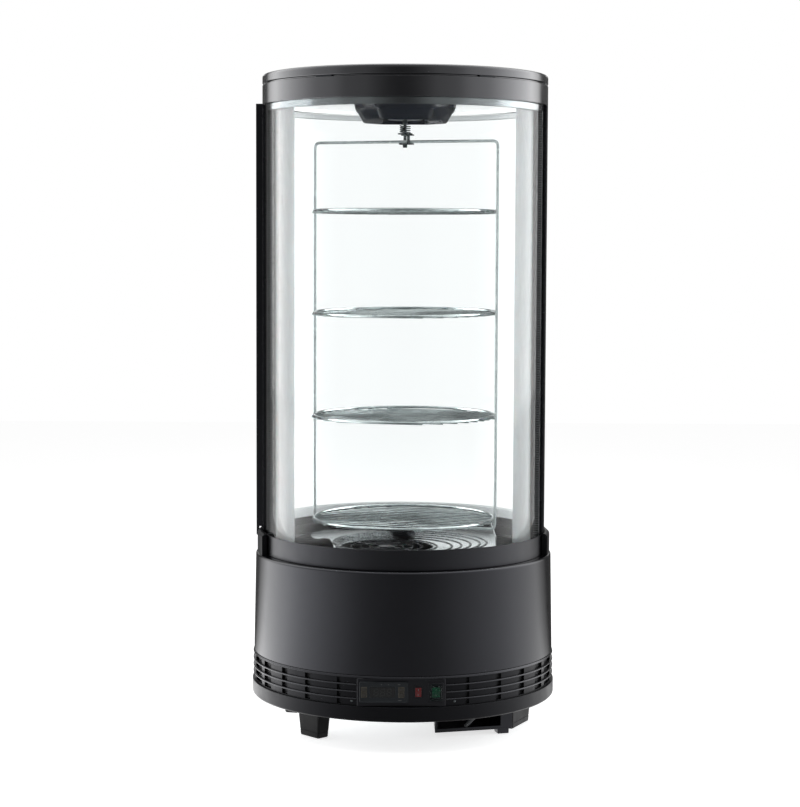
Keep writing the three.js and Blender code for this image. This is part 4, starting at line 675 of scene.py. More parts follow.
for i in range(4):
    low = VENT_LOW + i * ROW
    posts = band_posts(low + 1.5, low + ROW - 1.5)
    band.add(posts.points, posts.faces)
# The wall between the ribs takes the painted shade black, which darkens the recess.
make("vent_band_wall", band, "painted_shade_black", stands_for=["vent_band"], smooth=30)
make("vent_band_rims", rims, "rim_black", stands_for=["vent_band"], smooth=40)

# %% [markdown]
# Behind the openings the photo shows a fine woven mesh that keeps dust out. It is a thin ring of wire cloth. A fine
# checker in its colour and bump makes the weave, because the wires are thinner than a pixel.

# %% Mesh behind the openings
wire_cloth = new_finish("wire_cloth", (0.02, 0.02, 0.022), 0.5, 0.7)
weave = add_node(wire_cloth.node_tree, "ShaderNodeTexChecker", {
    "Vector": object_place(wire_cloth), "Scale": 900, "Color1": (0.004, 0.004, 0.005, 1),
    "Color2": (0.03, 0.031, 0.034, 1)})
feed(wire_cloth, "Base Color", weave.outputs["Color"])
add_grain(wire_cloth, weave.outputs["Fac"], 0.6, 0.0004)
make("dust_mesh", lathe(block(249.0, 249.6, 78.5, 120.5), *panel_span), "wire_cloth")

# %% [markdown]
# The glass section stands in a black sill, which is a channel for the two front panes, and under the top ring, which
# has a groove for them. The lid sits on the ring with a shadow gap. All are lathe work: a profile each.

# %% Sill, top ring and lid
LEFT, RIGHT = -83.0, 78.0
SILL_LOW, PANE_FOOT = LEDGE + GAP, LEDGE + 3.3
make("front_sill_channel", Shape()
     .add(*spun([(233.8, SILL_LOW), (239.0, SILL_LOW), (239.0, 328.0), (237.8, 328.0), (237.8, PANE_FOOT),
                 (233.8, PANE_FOOT)], 0.5, LEFT, RIGHT))
     .add(*spun([(219.5, SILL_LOW), (233.8, SILL_LOW), (233.8, PANE_FOOT), (220.6, PANE_FOOT), (220.6, 312.3),
                 (219.5, 312.3)], 0.4, LEFT, RIGHT)),
     "satin_black", stands_for=["front_sill"])
make("ring_moulding", spun([
    (241.0, RING_LOW), (241.0, RING_HIGH), (215.7, RING_HIGH), (215.7, 1053.0), (211.7, 1053.0), (211.7, RING_LOW),
    (220.6, RING_LOW), (220.6, 1057.0), (238.4, 1057.0), (238.4, RING_LOW),
], 0.7), "lacquer_black", stands_for=["top_ring"])
make("lid_moulding", spun([
    (0.0, LID_HIGH), (237.0, LID_HIGH), (240.2, 1098.6), (241.0, 1095.5), (241.0, LID_LOW), (236.0, LID_LOW),
    (236.0, RING_HIGH + GAP), (232.0, RING_HIGH + GAP), (232.0, 1097.0), (0.0, 1097.0),
], 1.0), "lacquer_black", stands_for=["lid"])

# %% [markdown]
# A dark metal pillar stands at each side, where the front glazing ends and the door begins. Two grooves run down its
# outer face. The outline in plan holds the grooves, so the prism needs no cutting.

# %% Pillars
POST_OUTER, POST_INNER = 241.0, 219.5
GROOVE = ((-0.55, POST_OUTER), (-0.5, 239.0), (0.5, 239.0), (0.55, POST_OUTER))


def pillar(name, start, end, node_name):
    outline = [on_circle(POST_OUTER, start)]
    for share in (0.3, 0.65):
        middle = start + (end - start) * share
        outline += [on_circle(radius, middle + aside) for aside, radius in GROOVE]
    outline.append(on_circle(POST_OUTER, end))
    outline += [on_circle(POST_INNER, end + (start - end) * k / 6) for k in range(7)]
    make(name, prism(rounded(outline, 0.6, 2), LEDGE + GAP, RING_LOW - GAP), "dark_metal",
         stands_for=[node_name], smooth=25)


pillar("pillar_left_profile", -93.7, LEFT - GAP, "pillar_left")
pillar("pillar_right_profile", RIGHT + GAP, 89.6, "pillar_right")

# %% [markdown]
# Front and rear are double glazed: two curved panes, 4 mm thick, with an aluminium spacer frame between them.
# Real thickness matters, because it is what bends and darkens the view near the sides.

# %% Front panes
PANE = 4.0
OUTER_PANE, INNER_PANE = 237.5, 225.5


def pane(name, outer, start, end, low, high, body, node_name):
    make(name, spun(block(outer - PANE, outer, low, high), 0.5, start, end, steps=2), "clear_glass", body,
         [node_name])


pane("glass_front_outer", OUTER_PANE, LEFT, RIGHT, 297.6, 1056.7, "cabinet", "front_pane_outer")
pane("glass_front_inner", INNER_PANE, LEFT, RIGHT, 297.6, 1056.7, "cabinet", "front_pane_inner")

# %% [markdown]
# The spacer's upright bars are perforated, for the drying grains inside. The holes are smaller than a pixel, so a
# wave along the height, in colour and bump, stands for them. The bands above and below are plain metal.

# %% Spacer frame
SPACER_INNER, SPACER_OUTER, SPACER_BAR = 225.9, 233.1, 2.8
perforated = new_finish("perforated_aluminium", (0.03, 0.033, 0.035), 0.45, 0.3, **{"Specular IOR Level": 0.2})
holes = add_node(perforated.node_tree, "ShaderNodeTexWave", {
    "Vector": object_place(perforated), "Scale": 78.5, "Distortion": 0.0}, wave_type="BANDS", bands_direction="Z")
vary_colour(perforated, holes.outputs["Fac"], (0.008, 0.009, 0.01), (0.075, 0.08, 0.082))
add_grain(perforated, holes.outputs["Fac"], 0.5, 0.0006)
bands, bars = Shape(), Shape()
for low, high in ((297.6, 308.6), (1038.0, 1056.7)):
    bands.add(*spun(block(SPACER_INNER, SPACER_OUTER, low, high), 0.5, LEFT, RIGHT, steps=2))
for start in (LEFT, RIGHT - SPACER_BAR):
    bars.add(*spun(block(SPACER_INNER, SPACER_OUTER, 308.0, 1038.6), 0.2, start, start + SPACER_BAR, steps=1))
make("spacer_bands", bands, "spacer_metal")
make("spacer_frame", bars, "perforated_aluminium", stands_for=["glazing_spacer"])

# %% [markdown]
# Two light columns stand inside the pillars: half-round frosted covers with the lamps behind them. They are off in
# the photo, and pale grey. Each is a prism of a half-round outline that is turned to face the middle.

# %% Light columns
COLUMN_HALF, COLUMN_STRAIGHT, COLUMN_BACK = 18.0, 12.0, 219.2


def light_column(name, azimuth, node_name):
    outline = [(COLUMN_HALF, 0.0), (COLUMN_HALF, COLUMN_STRAIGHT)]
    outline += circle(COLUMN_HALF, 48, 0.0, COLUMN_STRAIGHT)[1:24]
    outline += [(-COLUMN_HALF, COLUMN_STRAIGHT), (-COLUMN_HALF, 0.0)]
    x, y = on_circle(math.sqrt(COLUMN_BACK ** 2 - COLUMN_HALF ** 2), azimuth)
    make(name, moved(prism(outline, 303.3, RING_LOW - GAP, 0.6), x, y, degrees=azimuth), "frosted_tube",
         stands_for=[node_name])


light_column("light_cover_left", -79, "light_column_left")
light_column("light_cover_right", 79, "light_column_right")

# %% [markdown]
# The rack is bent and welded from bright wire. A lathe can't make it, so each wire is a tube along its own route: a
# section is carried along from point to point without twisting.


# %% Wire helpers
def tube(route, radius, sides=12, closed=False):
    """A round wire along a route of points, its section carried along without twisting."""
    path = [Vector(p) for p in route]
    count = len(path)
    points, faces = [], []
    side = None
    for i, here in enumerate(path):
        before = path[i - 1] if closed or i > 0 else here
        after = path[(i + 1) % count] if closed or i < count - 1 else here
        forward = (after - before).normalized()
        if side is None:
            side = forward.orthogonal().normalized()
        side = (side - forward * side.dot(forward)).normalized()
        other = forward.cross(side)
        for k in range(sides):
            angle = 2 * math.pi * k / sides
            points.append(tuple(here + side * (radius * math.cos(angle)) + other * (radius * math.sin(angle))))
    last = count if closed else count - 1
    for i in range(last):
        here, after = i * sides, ((i + 1) % count) * sides
        for k in range(sides):
            j = (k + 1) % sides
            faces.append((here + k, here + j, after + j, after + k))
    if not closed:
        faces.append(tuple(range(sides - 1, -1, -1)))
        faces.append(tuple(range((count - 1) * sides, count * sides)))
    return points, faces


def bend(before, corner, after, radius=9.0, steps=8):
    """The points of a rounded corner between two straight stretches of wire."""
    a, b, c = Vector(before), Vector(corner), Vector(after)
    start, end = b + (a - b).normalized() * radius, b + (c - b).normalized() * radius
    return [start * (1 - t) ** 2 + b * 2 * t * (1 - t) + end * t ** 2 for t in (k / steps for k in range(steps + 1))]


def ring_route(radius, level, x=0.0, y=0.0, count=96):
    return [(px, py, level) for px, py in circle(radius, count, x, y)]


# %% [markdown]
# The frame is one wire that goes from the hub round both sides to the top. Everything on the rack is made square to
# the axes and then turned by the angle at which the rack came to rest.

# %% Rack frame
RACK_TURN = -17.5
UPRIGHT, TOP_BAR, HUB_SIDE, HUB_LEVEL, WIRE = 162.0, 990.0, 25.0, 336.5, 2.5
corners = [(HUB_SIDE, 0, HUB_LEVEL), (UPRIGHT, 0, HUB_LEVEL), (UPRIGHT, 0, TOP_BAR), (-UPRIGHT, 0, TOP_BAR),
           (-UPRIGHT, 0, HUB_LEVEL), (-HUB_SIDE, 0, HUB_LEVEL)]
route = [corners[0]]
for i in range(1, 5):
    route += bend(corners[i - 1], corners[i], corners[i + 1])
route.append(corners[5])
make("rack_wire_frame", tube(route, WIRE, 14), "frame_wire", "rack", ["rack_frame"], turn=RACK_TURN)

# %% [markdown]
# Each shelf is a rim of thick wire with fifteen thin rods welded across below it. It hangs on the two uprights, and
# the lower three droop a little to the front in the photo, so a small slope lowers their front edge.

# %% Shelves
SHELVES = ((873.4, 0.0), (702.2, 0.018), (526.7, 0.01), (350.6, 0.006))
RIM, ROD, ROD_PITCH, ROD_END, LONG_ROD = 153.2, 1.0, 19.5, 4.6, 159.2
for number, (level, droop) in enumerate(SHELVES, 1):
    shelf = Shape().add(*tube(ring_route(RIM, level, count=120), WIRE, 12, closed=True))
    for k in range(-7, 8):
        y = k * ROD_PITCH
        reach = LONG_ROD if k == 0 else math.sqrt(RIM ** 2 - y ** 2) + ROD_END
        z = level - WIRE - ROD + 0.6
        shelf.add(*tube([(-reach, y, z), (0, y, z), (reach, y, z)], ROD, 10))
    shelf.points = [(x, y, z + y * droop) for x, y, z in shelf.points]
    make(f"wire_shelf_{number}", shelf, "chrome_wire", "rack", [f"shelf_{number}"], turn=RACK_TURN)

# %% [markdown]
# Four tapered slabs of hard rubber carry the cabinet, with a fine parting groove above the sole where the two halves
# of the mould met. They are lofts: the outline shrinks towards the ground. The one at the front right is longer and
# thinner.

# %% Feet
FOOT_HEIGHT = 52.0
FOOT_LEVELS = ((0, 1.6), (0.5, 0.6), (1.6, 0), (9.2, 0), (9.6, 0.5), (10.4, 0.5), (10.8, 0), (51.2, 0), (52, 0.8))
PLAIN_FOOT, LONG_FOOT = ((56, 28), (46, 23)), ((81.8, 18), (71.8, 13))


def foot(name, place, top, ground):
    radius, azimuth, facing = place
    sections = []
    for z, inset in FOOT_LEVELS:
        width, depth = (low + (high - low) * z / FOOT_HEIGHT - 2 * inset for low, high in zip(ground, top))
        sections.append((z, slab(width, depth, 4 - inset)))
    solid = moved(loft(sections), *on_circle(radius, azimuth), degrees=facing)
    make(name + "_rubber", solid, "hard_rubber", stands_for=[name])


foot("foot_front_left", (196.8, -48.5, -47), *PLAIN_FOOT)
foot("foot_rear_right", (196.8, 130, 130), *PLAIN_FOOT)
foot("foot_rear_left", (196.8, -107, -107), *PLAIN_FOOT)
foot("foot_front_right", (200.5, 77.2, 63.8), *LONG_FOOT)

# %% [markdown]
# Under the right side hangs the drip tray. It is a floor, a wall that runs round three sides and a little of the
# front, and a low lip. A bevel modifier rounds its many edges at once, because none of them is seen from near by.

# %% Drip tray
TRAY_PLACE, TRAY_TURN = (118.29, -124.70), 15.2
tray = Shape().add(*prism(rounded([(67.25, 0), (40, 104), (-40, 104), (-67.25, 0)], 2), 8, 10.2))
tray.add(*prism([(-63.25, 0), (-67.25, 0), (-40, 104), (40, 104), (67.25, 0), (47.25, 0), (47.25, 2), (64.6, 2),
                 (38.2, 102), (-38.2, 102), (-64.6, 2), (-63.25, 2)], 10, 51.5))
tray.add(*prism([(48, 0), (48, 2), (-64, 2), (-64, 0)], 10, 14))
for x, y in ((52.25, 10), (30, 94), (-30, 94)):
    tray.add(*box(20, 20, 0, 9, x, y, 2.0, 0.8))
make("drip_tray_moulding", moved((tray.points, tray.faces), *TRAY_PLACE, degrees=TRAY_TURN), "satin_black", "tray",
     ["drip_tray"], edge=0.5)

# %% [markdown]
# The condensate hose comes down into the tray. A soft hose bends in one flowing line, so its route is a spline
# through a few points, and the tube follows it.

# %% Drain hose
HOSE_RADIUS = 3.3
HOSE = ((122.29, -60, 211.7), (122.29, -60, 204.3), (122.29, -60, 133.25), (122.29, -115.9, 69.6),
        (123.5, -116.5, 52.3), (124.0, -119.3, 36.0), (104.0, -122.0, 14))


def spline_route(points, steps=10):
    """A smooth route through the given points."""
    route = []
    ends = [Vector(points[0]) * 2 - Vector(points[1])] + [Vector(p) for p in points]
    ends.append(Vector(points[-1]) * 2 - Vector(points[-2]))
    for a, b, c, d in zip(ends, ends[1:], ends[2:], ends[3:]):
        for k in range(steps):
            t = k / steps
            route.append(0.5 * (2 * b + (c - a) * t + (2 * a - 5 * b + 4 * c - d) * t ** 2
                                + (3 * b - a - 3 * c + d) * t ** 3))
    return route + [Vector(points[-1])]


make("drain_hose_tube", tube(spline_route(HOSE), HOSE_RADIUS, 18), "grey_hose", stands_for=["drain_hose"])

# %% [markdown]
# The control panel is a plate let into the band. It and all that sits in it are lofts that are stood up, so that
# their levels run along the depth, with every rim drawn in a little at the face.

# %% Control panel
PANEL_LEVEL, PANEL_FACE = 100.0, -249.0


def to_front(solid, x=0.0, z=0.0):
    """Stands a solid up so that its levels run along Y, and brings its middle to x and z."""
    points, faces = solid
    return [(a + x, level, b + z) for a, b, level in points], faces


make("control_panel_plate", to_front(loft([
    (-235, slab(142, 45.4, 2)), (-248.4, slab(142, 45.4, 2)), (PANEL_FACE, slab(140.8, 44.2, 1.8))]), -3, 99.5),
    "satin_black", stands_for=["control_panel"])


def frame_ring(width, height, border, back, front, corner=1.2, soft=0.3):
    """A rounded frame with softened edges, between two depths."""
    inner_width, inner_height = width - 2 * border, height - 2 * border
    inner_corner = max(0.3, corner - border / 2)
    return loft([(back, slab(width, height, corner)), (front + soft, slab(width, height, corner)),
                 (front, slab(width - 2 * soft, height - 2 * soft, corner)),
                 (front, slab(inner_width + 2 * soft, inner_height + 2 * soft, inner_corner)),
                 (front + soft, slab(inner_width, inner_height, inner_corner)),
                 (back, slab(inner_width, inner_height, inner_corner))], ring=True)


# %% [markdown]
# The thermostat is a bezel with a raised rim, a window in its own thin frame, and four dished buttons. Each button
# is its own piece, because it moves: it rides on its own body.

# %% Thermostat
BEZEL_X, BEZEL_FACE, WINDOW_X = -30.8, -251.4, -32.8
THIN_FRAME = (-251.2, -251.9)
BUTTONS = {1: (-62.8, 104.5), 2: (-62.8, 95.5), 3: (-2.8, 104.5), 4: (-2.8, 95.5)}
bezel = Shape().add(*to_front(loft([
    (-191.3, slab(70.5, 28.5, 1)), (-249.3, slab(70.5, 28.5, 1)), (-249.3, slab(78.5, 34.5, 3)),
    (-251.4, slab(78.5, 34.5, 3)), (-252.0, slab(77.5, 33.5, 2.6)), (-252.0, slab(75.3, 31.3, 2.2)),
    (BEZEL_FACE, slab(74.3, 30.3, 1.8))]), BEZEL_X, PANEL_LEVEL))
bezel.add(*to_front(frame_ring(42.4, 19.4, 1.2, *THIN_FRAME), WINDOW_X, PANEL_LEVEL))
button_frames = Shape()
for x, z in BUTTONS.values():
    button_frames.add(*to_front(frame_ring(9.6, 8.4, 1.0, *THIN_FRAME), x, z))
make("button_frames", button_frames, "beige_frame")
make("thermostat_bezel", bezel, "slate_bezel", stands_for=["thermostat_housing"])
make("display_glass", to_front(loft([
    (-250.6, slab(40, 17, 1)), (BEZEL_FACE, slab(40, 17, 1)), (-251.6, slab(39.5, 16.5, 0.8))]), WINDOW_X,
    PANEL_LEVEL), "display_black", stands_for=["display_window"])
for number, (x, z) in BUTTONS.items():
    cap = loft([(-248, slab(7, 6, 0.8)), (-252.3, slab(7, 6, 0.8)), (-252.8, slab(6.2, 5.2, 0.8)),
                (-252.6, slab(3.6, 2.8, 0.8))])
    make(f"button_{number}_cap", to_front(cap, x, z), "beige_button", f"button_{number}",
         [f"thermostat_button_{number}"])

# %% [markdown]
# The display's three digits are unlit, and show as faint eights. Each is seven thin bars that lean a little, and each
# bar is a flat loft that stands a quarter of a millimetre proud. The small marks on the bezel are the same bars.


# %% Digits and small marks
def bar_mark(x, z, length, thick, upright=False, slant=0.0):
    half, side = length / 2, thick / 2
    outline = [(-half, 0), (-half + side, -side), (half - side, -side), (half, 0), (half - side, side),
               (-half + side, side)]
    if upright:
        outline = [(b, a) for a, b in outline]
    points, faces = to_front(loft([(BEZEL_FACE, outline), (-251.68, outline)]), x, z)
    return [(px + slant * (pz - PANEL_LEVEL), py, pz) for px, py, pz in points], faces


digits = Shape()
for centre in (WINDOW_X - 10.4, WINDOW_X, WINDOW_X + 10.4):
    for dz in (-5.4, 0, 5.4):
        digits.add(*bar_mark(centre, PANEL_LEVEL + dz, 5.2, 1.1, slant=0.1))
    for dx in (-3.1, 3.1):
        for dz in (-2.7, 2.7):
            digits.add(*bar_mark(centre + dx, PANEL_LEVEL + dz, 4.8, 1.1, True, slant=0.1))
make("display_digits", digits, "unlit_segment")
marks = Shape()
for x, z, length in ((-34.5, 112.6, 1.6), (-23.5, 112.6, 1.6), (-6.3, 112.6, 4.6), (-5.2, 86.8, 5.6)):
    marks.add(*bar_mark(x, z, length, 0.9))
make("bezel_marks", marks, "pale_print")

# %% [markdown]
# A rocker's face is crowned from end to end, so its side view is the outline and its width is the height of the
# prism. The bar and ring that mark its two ends follow the crown: each point is set on the face and lifted by less
# than a tenth of a millimetre, as print is.

# %% Rocker switches
ROCKER_CREST, ROCKER_EDGE, ROCKER_BACK = -251.8, -250.6, -245.6
LIGHT_X, POWER_X = 24.5, 52.8
SUNK, PROUD = 0.4, -0.07
BAR = [(0.5, 1.5), (-0.5, 1.5), (-0.5, -1.5), (0.5, -1.5)]
RING_OUTER, RING_INNER = (circle(1.4 * share, 24, start=0.5) for share in (1.0, 0.62))


def rocker_face(z, half):
    return ROCKER_EDGE + (ROCKER_CREST - ROCKER_EDGE) * (1 - (z / half) ** 2)


def rocker(name, x, width, height, finish, body, stands_for):
    """A lens with a crowned face, and the bar and ring that mark its two ends."""
    half = height / 2
    outline = [(ROCKER_BACK, -half + 0.4), (ROCKER_BACK, half - 0.4)]
    outline += [(rocker_face(half - height * k / 12, half), half - height * k / 12) for k in range(13)]
    points, faces = prism(outline, -width / 2, width / 2)
    lens = ([(across + x, y, z + PANEL_LEVEL) for y, z, across in points], faces)
    make(name + "_lens", lens, finish, body, [stands_for], edge=0.4)
    bar = loft([(SUNK, BAR), (PROUD, BAR)])
    ring = loft([(SUNK, RING_OUTER), (PROUD, RING_OUTER), (PROUD, RING_INNER), (SUNK, RING_INNER)], ring=True)
    prints = Shape()
    for middle, (points, faces) in ((half * 0.56, bar), (-half * 0.52, ring)):
        prints.add([(a + x, rocker_face(b + middle, half) + depth, b + middle + PANEL_LEVEL)
                    for a, b, depth in points], faces)
    make(name + "_marks", prints, "pale_print", body)


make("light_switch_surround", to_front(frame_ring(14, 19.5, 1.7, -249.3, -250.6), LIGHT_X, PANEL_LEVEL),
     "satin_black", stands_for=["light_switch_frame"])
make("power_switch_surround", to_front(frame_ring(25, 31, 5.9, -249.3, -250.6, 2.0), POWER_X, PANEL_LEVEL),
     "satin_black", stands_for=["power_switch_frame"])
rocker("light_switch", LIGHT_X, 10, 15, "red_lens", "light_rocker", "light_switch_rocker")
rocker("power_switch", POWER_X, 12.5, 17, "green_lens", "power_rocker", "power_switch_rocker")

# %% [markdown]
# The power switch wears a soft clear hood against splashes. It is a thin cup, so the loft goes up the inside, round
# the rim and down the outside, and light passes two skins.

# %% Splash hood
make("splash_hood", to_front(loft([
    (-256.9, slab(15.4, 21.4, 1.6)), (-256.0, slab(17.2, 23.2, 1.8)), (-250.9, slab(18, 24, 2)),
    (-250.9, slab(20, 26, 2.5)), (-256.6, slab(19.2, 25.2, 2.5)), (-257.9, slab(16.8, 22.8, 2))]), POWER_X,
    PANEL_LEVEL), "clear_plastic", stands_for=["switch_hood"])

# %% [markdown]
# Two small screws beside the panel hold the band to the chassis, a third holds the lid, and four clips sit in the
# groove under it. They are tiny, but the eye finds them in the photo.


# %% Screws and clips
def screw(name, azimuth, z, radius, head=2.2):
    """A low domed head that faces outwards."""
    points, faces = loft([(height, circle(head * share, 20))
                          for height, share in ((0.0, 1.0), (0.8, 1.0), (1.3, 0.72), (1.5, 0.4))])
    standing = [(a, -(radius + level), b + z) for a, b, level in points]
    make(name, (turned(standing, azimuth), faces), "dark_steel")


screw("band_screw_left", -18.9, 83.4, 253.8)
screw("band_screw_right", 19.0, 83.4, 253.8)
screw("lid_screw", 77.7, 1083.6, 237.0, 1.6)
CLIP_HALF = 3.6
clips = Shape()
for azimuth in (-33, 33, -147, 147):
    clips.add(*spun(block(235.0, 240.0, 1082.1, 1084.9), 0.4, azimuth - CLIP_HALF, azimuth + CLIP_HALF))
make("lid_clips", clips, "slate_plastic")

# %% [markdown]
# The display floor is a polished steel cover on a dark pan. The cover has an upstand at its right edge, a shaped left
# edge, and beads pressed round the opening of the cold fan, one outside the other. Blender's filled curves make flat
# plates with holes without a Boolean, and the beads are round bars sunk into the plate. The beads are of the cover's
# own steel, but they get a dark steel finish, which is painted shade along them.


# %% Plates with holes
def pierced(outlines, low, high, edge=0.3):
    """A flat plate with holes, from a filled curve that is given a thickness."""
    curve = bpy.data.curves.new("outline", "CURVE")
    curve.dimensions, curve.fill_mode = "2D", "BOTH"
    curve.extrude, curve.bevel_depth, curve.bevel_resolution, curve.offset = (high - low) / 2 - edge, edge, 1, -edge
    for outline in outlines:
        spline = curve.splines.new("POLY")
        spline.points.add(len(outline) - 1)
        for point, (x, y) in zip(spline.points, outline):
            point.co = (x, y, 0, 1)
        spline.use_cyclic_u = True
    holder = bpy.data.objects.new("outline", curve)
    mesh = bpy.data.meshes.new_from_object(holder)
    points = [(v.co.x, v.co.y, v.co.z + (low + high) / 2) for v in mesh.vertices]
    faces = [tuple(face.vertices) for face in mesh.polygons]
    bpy.data.objects.remove(holder)
    bpy.data.curves.remove(curve)
    bpy.data.meshes.remove(mesh)
    return points, faces


# %% Floor cover and beads
COVER_LOW, COVER_HIGH = 311.5, 313.0
FAN = (-28.0, -90.0)
FAN_HOLE, POST_HOLE = 78, 12
BEAD, BEAD_SUNK = 2.5, 1.0
BEADS = ((11, -41, 130), (6.5, -52.5, 122.5), (-0.5, -64.5, 113.5), (-7.5, -76.5, 104.5), (-15.5, -87.5, 96.5),
         (-27, -89.5, 82.5))
COVER_LEFT = [(-119, -60), (-127, -7), (-132, 0), (-137, 8), (-142, 1), (-146, -8), (-154, 0), (-161, 35), (-159, 78),
              (-150, 88), (-144, 96), (-141, 108), (-134, 112), (-121, 108), (-111, 100), (-100, 104), (-80, 113)]
front_arc = [on_circle(183, azimuth) for azimuth in range(57, -41, -3)]
outline = [(155, 113), (155, -97)] + front_arc + rounded(COVER_LEFT, 4, 2)
cover = Shape().add(*pierced([outline, circle(FAN_HOLE, 96, *FAN), circle(POST_HOLE, 48)], COVER_LOW, COVER_HIGH))
cover.add(*box(1.5, 201, COVER_LOW, 330, 154.25, 12.5, 0.4, 0.4))
beads = Shape()
for x, y, radius in BEADS:
    beads.add(*tube(ring_route(radius, COVER_HIGH - BEAD_SUNK, x, y, 120), BEAD, 12, closed=True))
# Dark steel on the beads is painted shade: pressed from the cover, they are really polished steel.
make("cover_beads_painted_shade", beads, "dark_steel")
make("floor_cover", cover, "polished_steel", stands_for=["evaporator_cover"])

# %% [markdown]
# A guard of rings and spokes covers the opening, so that nobody touches the fan. It is wire, and so it is tubes
# again, with a small disc in the middle.

# %% Fan guard
GUARD_LEVEL = 312.0
guard = Shape()
for radius in (76.2, 60, 44, 28):
    guard.add(*tube(ring_route(radius, GUARD_LEVEL + 0.4, *FAN, 72), 1.0, 8, closed=True))
for k in range(4):
    x, y = math.cos(math.radians(45 + 90 * k)), math.sin(math.radians(45 + 90 * k))
    inner, outer, leg = ((FAN[0] + reach * x, FAN[1] + reach * y) for reach in (12, 76, 75))
    guard.add(*tube([(*inner, GUARD_LEVEL), (*outer, GUARD_LEVEL)], 1.2, 8))
    guard.add(*tube([(*leg, 300.4), (*leg, GUARD_LEVEL)], 1.2, 8))
guard.add(*spun(block(0, 14, 311.5, 313.5), 0.6, centre=FAN))
make("fan_guard_wires", guard, "satin_black", stands_for=["fan_guard"])

# %% [markdown]
# The motor sits in the middle of the white ceiling, under a faceted cover that widens upwards in steps. The cover is
# a loft of one chamfered square at many sizes. It starts inside, so that its underside is recessed, as on a moulding.

# %% Motor cover and ceiling
MOTOR_COVER = (
    (1029.4, 63.0, 6), (1029.0, 64.0, 6), (1023.4, 66.2, 6), (1023.0, 68.8, 6), (1023.5, 70.4, 7), (1025.0, 71.9, 7),
    (1039.6, 80.6, 7), (1040.8, 82.2, 7), (1042.0, 83.4, 7), (1043.6, 84.2, 7), (1051.0, 85.6, 7), (1053.0, 86.0, 7))


def chamfered(half, share=0.45):
    cut = half * share
    return [(half, -half + cut), (half, half - cut), (half - cut, half), (-half + cut, half), (-half, half - cut),
            (-half, -half + cut), (-half + cut, -half), (half - cut, -half)]


make("motor_cover_shell", loft([(z, rounded(chamfered(half), corner, 3)) for z, half, corner in MOTOR_COVER]),
     "slate_plastic", stands_for=["motor_cover"], smooth=30)
ceiling = Shape().add(*spun(block(0, 215.4, 1053.3, 1056.3), 0.6))
ceiling.add(*spun(block(210.6, 211.5, 1047.2, 1053.6), 0.3, 84, 276, steps=2))
make("ceiling_liner", ceiling, "white_panel", stands_for=["ceiling_panel"])

# %% [markdown]
# The rack hangs on a shaft from the motor. The shaft carries a washer at each end of a spring, which is one real
# helix of wire, and a bent bracket that hooks under the top wire of the rack.

# %% Shaft, spring and bracket
SPRING_TURNS, SPRING_STEPS, SPRING_LOW, SPRING_RISE, SPRING_RADIUS = 3.5, 126, 1005.5, 11.7, 8.4
shaft = Shape().add(*spun([(0, 992.8), (2.8, 992.8), (2.8, 1018.8), (4, 1018.8), (4, 1026.7), (0, 1026.7)], 0.5,
                          step=15))
shaft.add(*spun(block(0, 12.5, 1002.6, 1004.3), 0.4, step=9))
shaft.add(*spun(block(0, 7, 1018.4, 1019.4), 0.3, step=12))
make("drive_shaft_turned", shaft, "dark_steel", "rack", ["drive_shaft"])
coil = []
for k in range(SPRING_STEPS + 1):
    share = k / SPRING_STEPS
    angle = 2 * math.pi * SPRING_TURNS * share
    coil.append((SPRING_RADIUS * math.cos(angle), SPRING_RADIUS * math.sin(angle), SPRING_LOW + SPRING_RISE * share))
make("drive_spring_coil", tube(coil, 1.0, 12), "dark_steel", "rack", ["drive_spring"])
bracket = Shape().add(*box(21, 9.6, 1000.3, 1002.3, 4.5, 0, 1.2, 0.4))
bracket.add(*box(5, 2, 985.2, 1002.3, 7.2, -3.8, 0.5, 0.3))
bracket.add(*box(25, 9.6, 985.2, 987.2, 2.5, 0, 1.2, 0.4))
bracket.add(*prism(circle(4, 6), 980.2, 986.2, 0.4))
make("hook_bracket_bent", bracket, "dark_steel", "rack", ["hook_bracket"], turn=RACK_TURN)

# %% [markdown]
# Below, the rack's hub is a cup that turns on a post in the floor. Both are turned parts, so the lathe makes them:
# the hub's profile goes up the bore and down the outside.

# %% Hub and pivot post
make("rack_hub", spun([(5.3, 308), (9, 308), (9, 313.5), (15, 314), (23, 320), (25.5, 327), (25.5, 338), (19, 343),
                       (0, 343), (0, 330), (5.3, 330)], 1.2, step=5), "satin_black", "rack", ["hub"])
make("pivot_post_turned", spun([(0, 300.3), (16, 300.3), (16, 303.3), (5, 303.3), (5, 329.7), (0, 329.7)], 0.6,
                               step=8), "dark_metal", stands_for=["pivot_post"])

# %% [markdown]
# The rear half is a door on two pins, and it closes on a collar that steps out behind the sill. The stiles at its
# two sides are black, and their outlines in plan are raised as prisms. The latch stile has a lip that stands out as a
# grip and reaches a little above and below.

# %% Rear collar and stiles
DOOR_LOW, DOOR_HIGH = 332.8, 1046.5
PIN = (235.96, 4.12)
# The collar takes the painted shade black: its darker, duller finish paints shade on it.
make("rear_collar", Shape()
     .add(*spun([(241.9, SILL_LOW), (250, SILL_LOW), (250, 326.3), (246, 330.3), (241.9, 330.3)], 0.8, 76, 288))
     .add(*spun([(POST_INNER, SILL_LOW), (241.9, SILL_LOW), (241.9, 330.3), (225.5, 330.3), (225.5, 318.3),
                 (POST_INNER, 318.3)], 0.5, 89.9, 266)), "painted_shade_black", stands_for=["rear_sill"])


def stile(start, end, inner=220.5, outer=POST_OUTER, low=DOOR_LOW, high=DOOR_HIGH):
    steps = [start + (end - start) * k / 4 for k in range(5)]
    outline = [on_circle(outer, azimuth) for azimuth in steps] + [on_circle(inner, azimuth) for azimuth in steps[::-1]]
    return prism(outline, low, high)


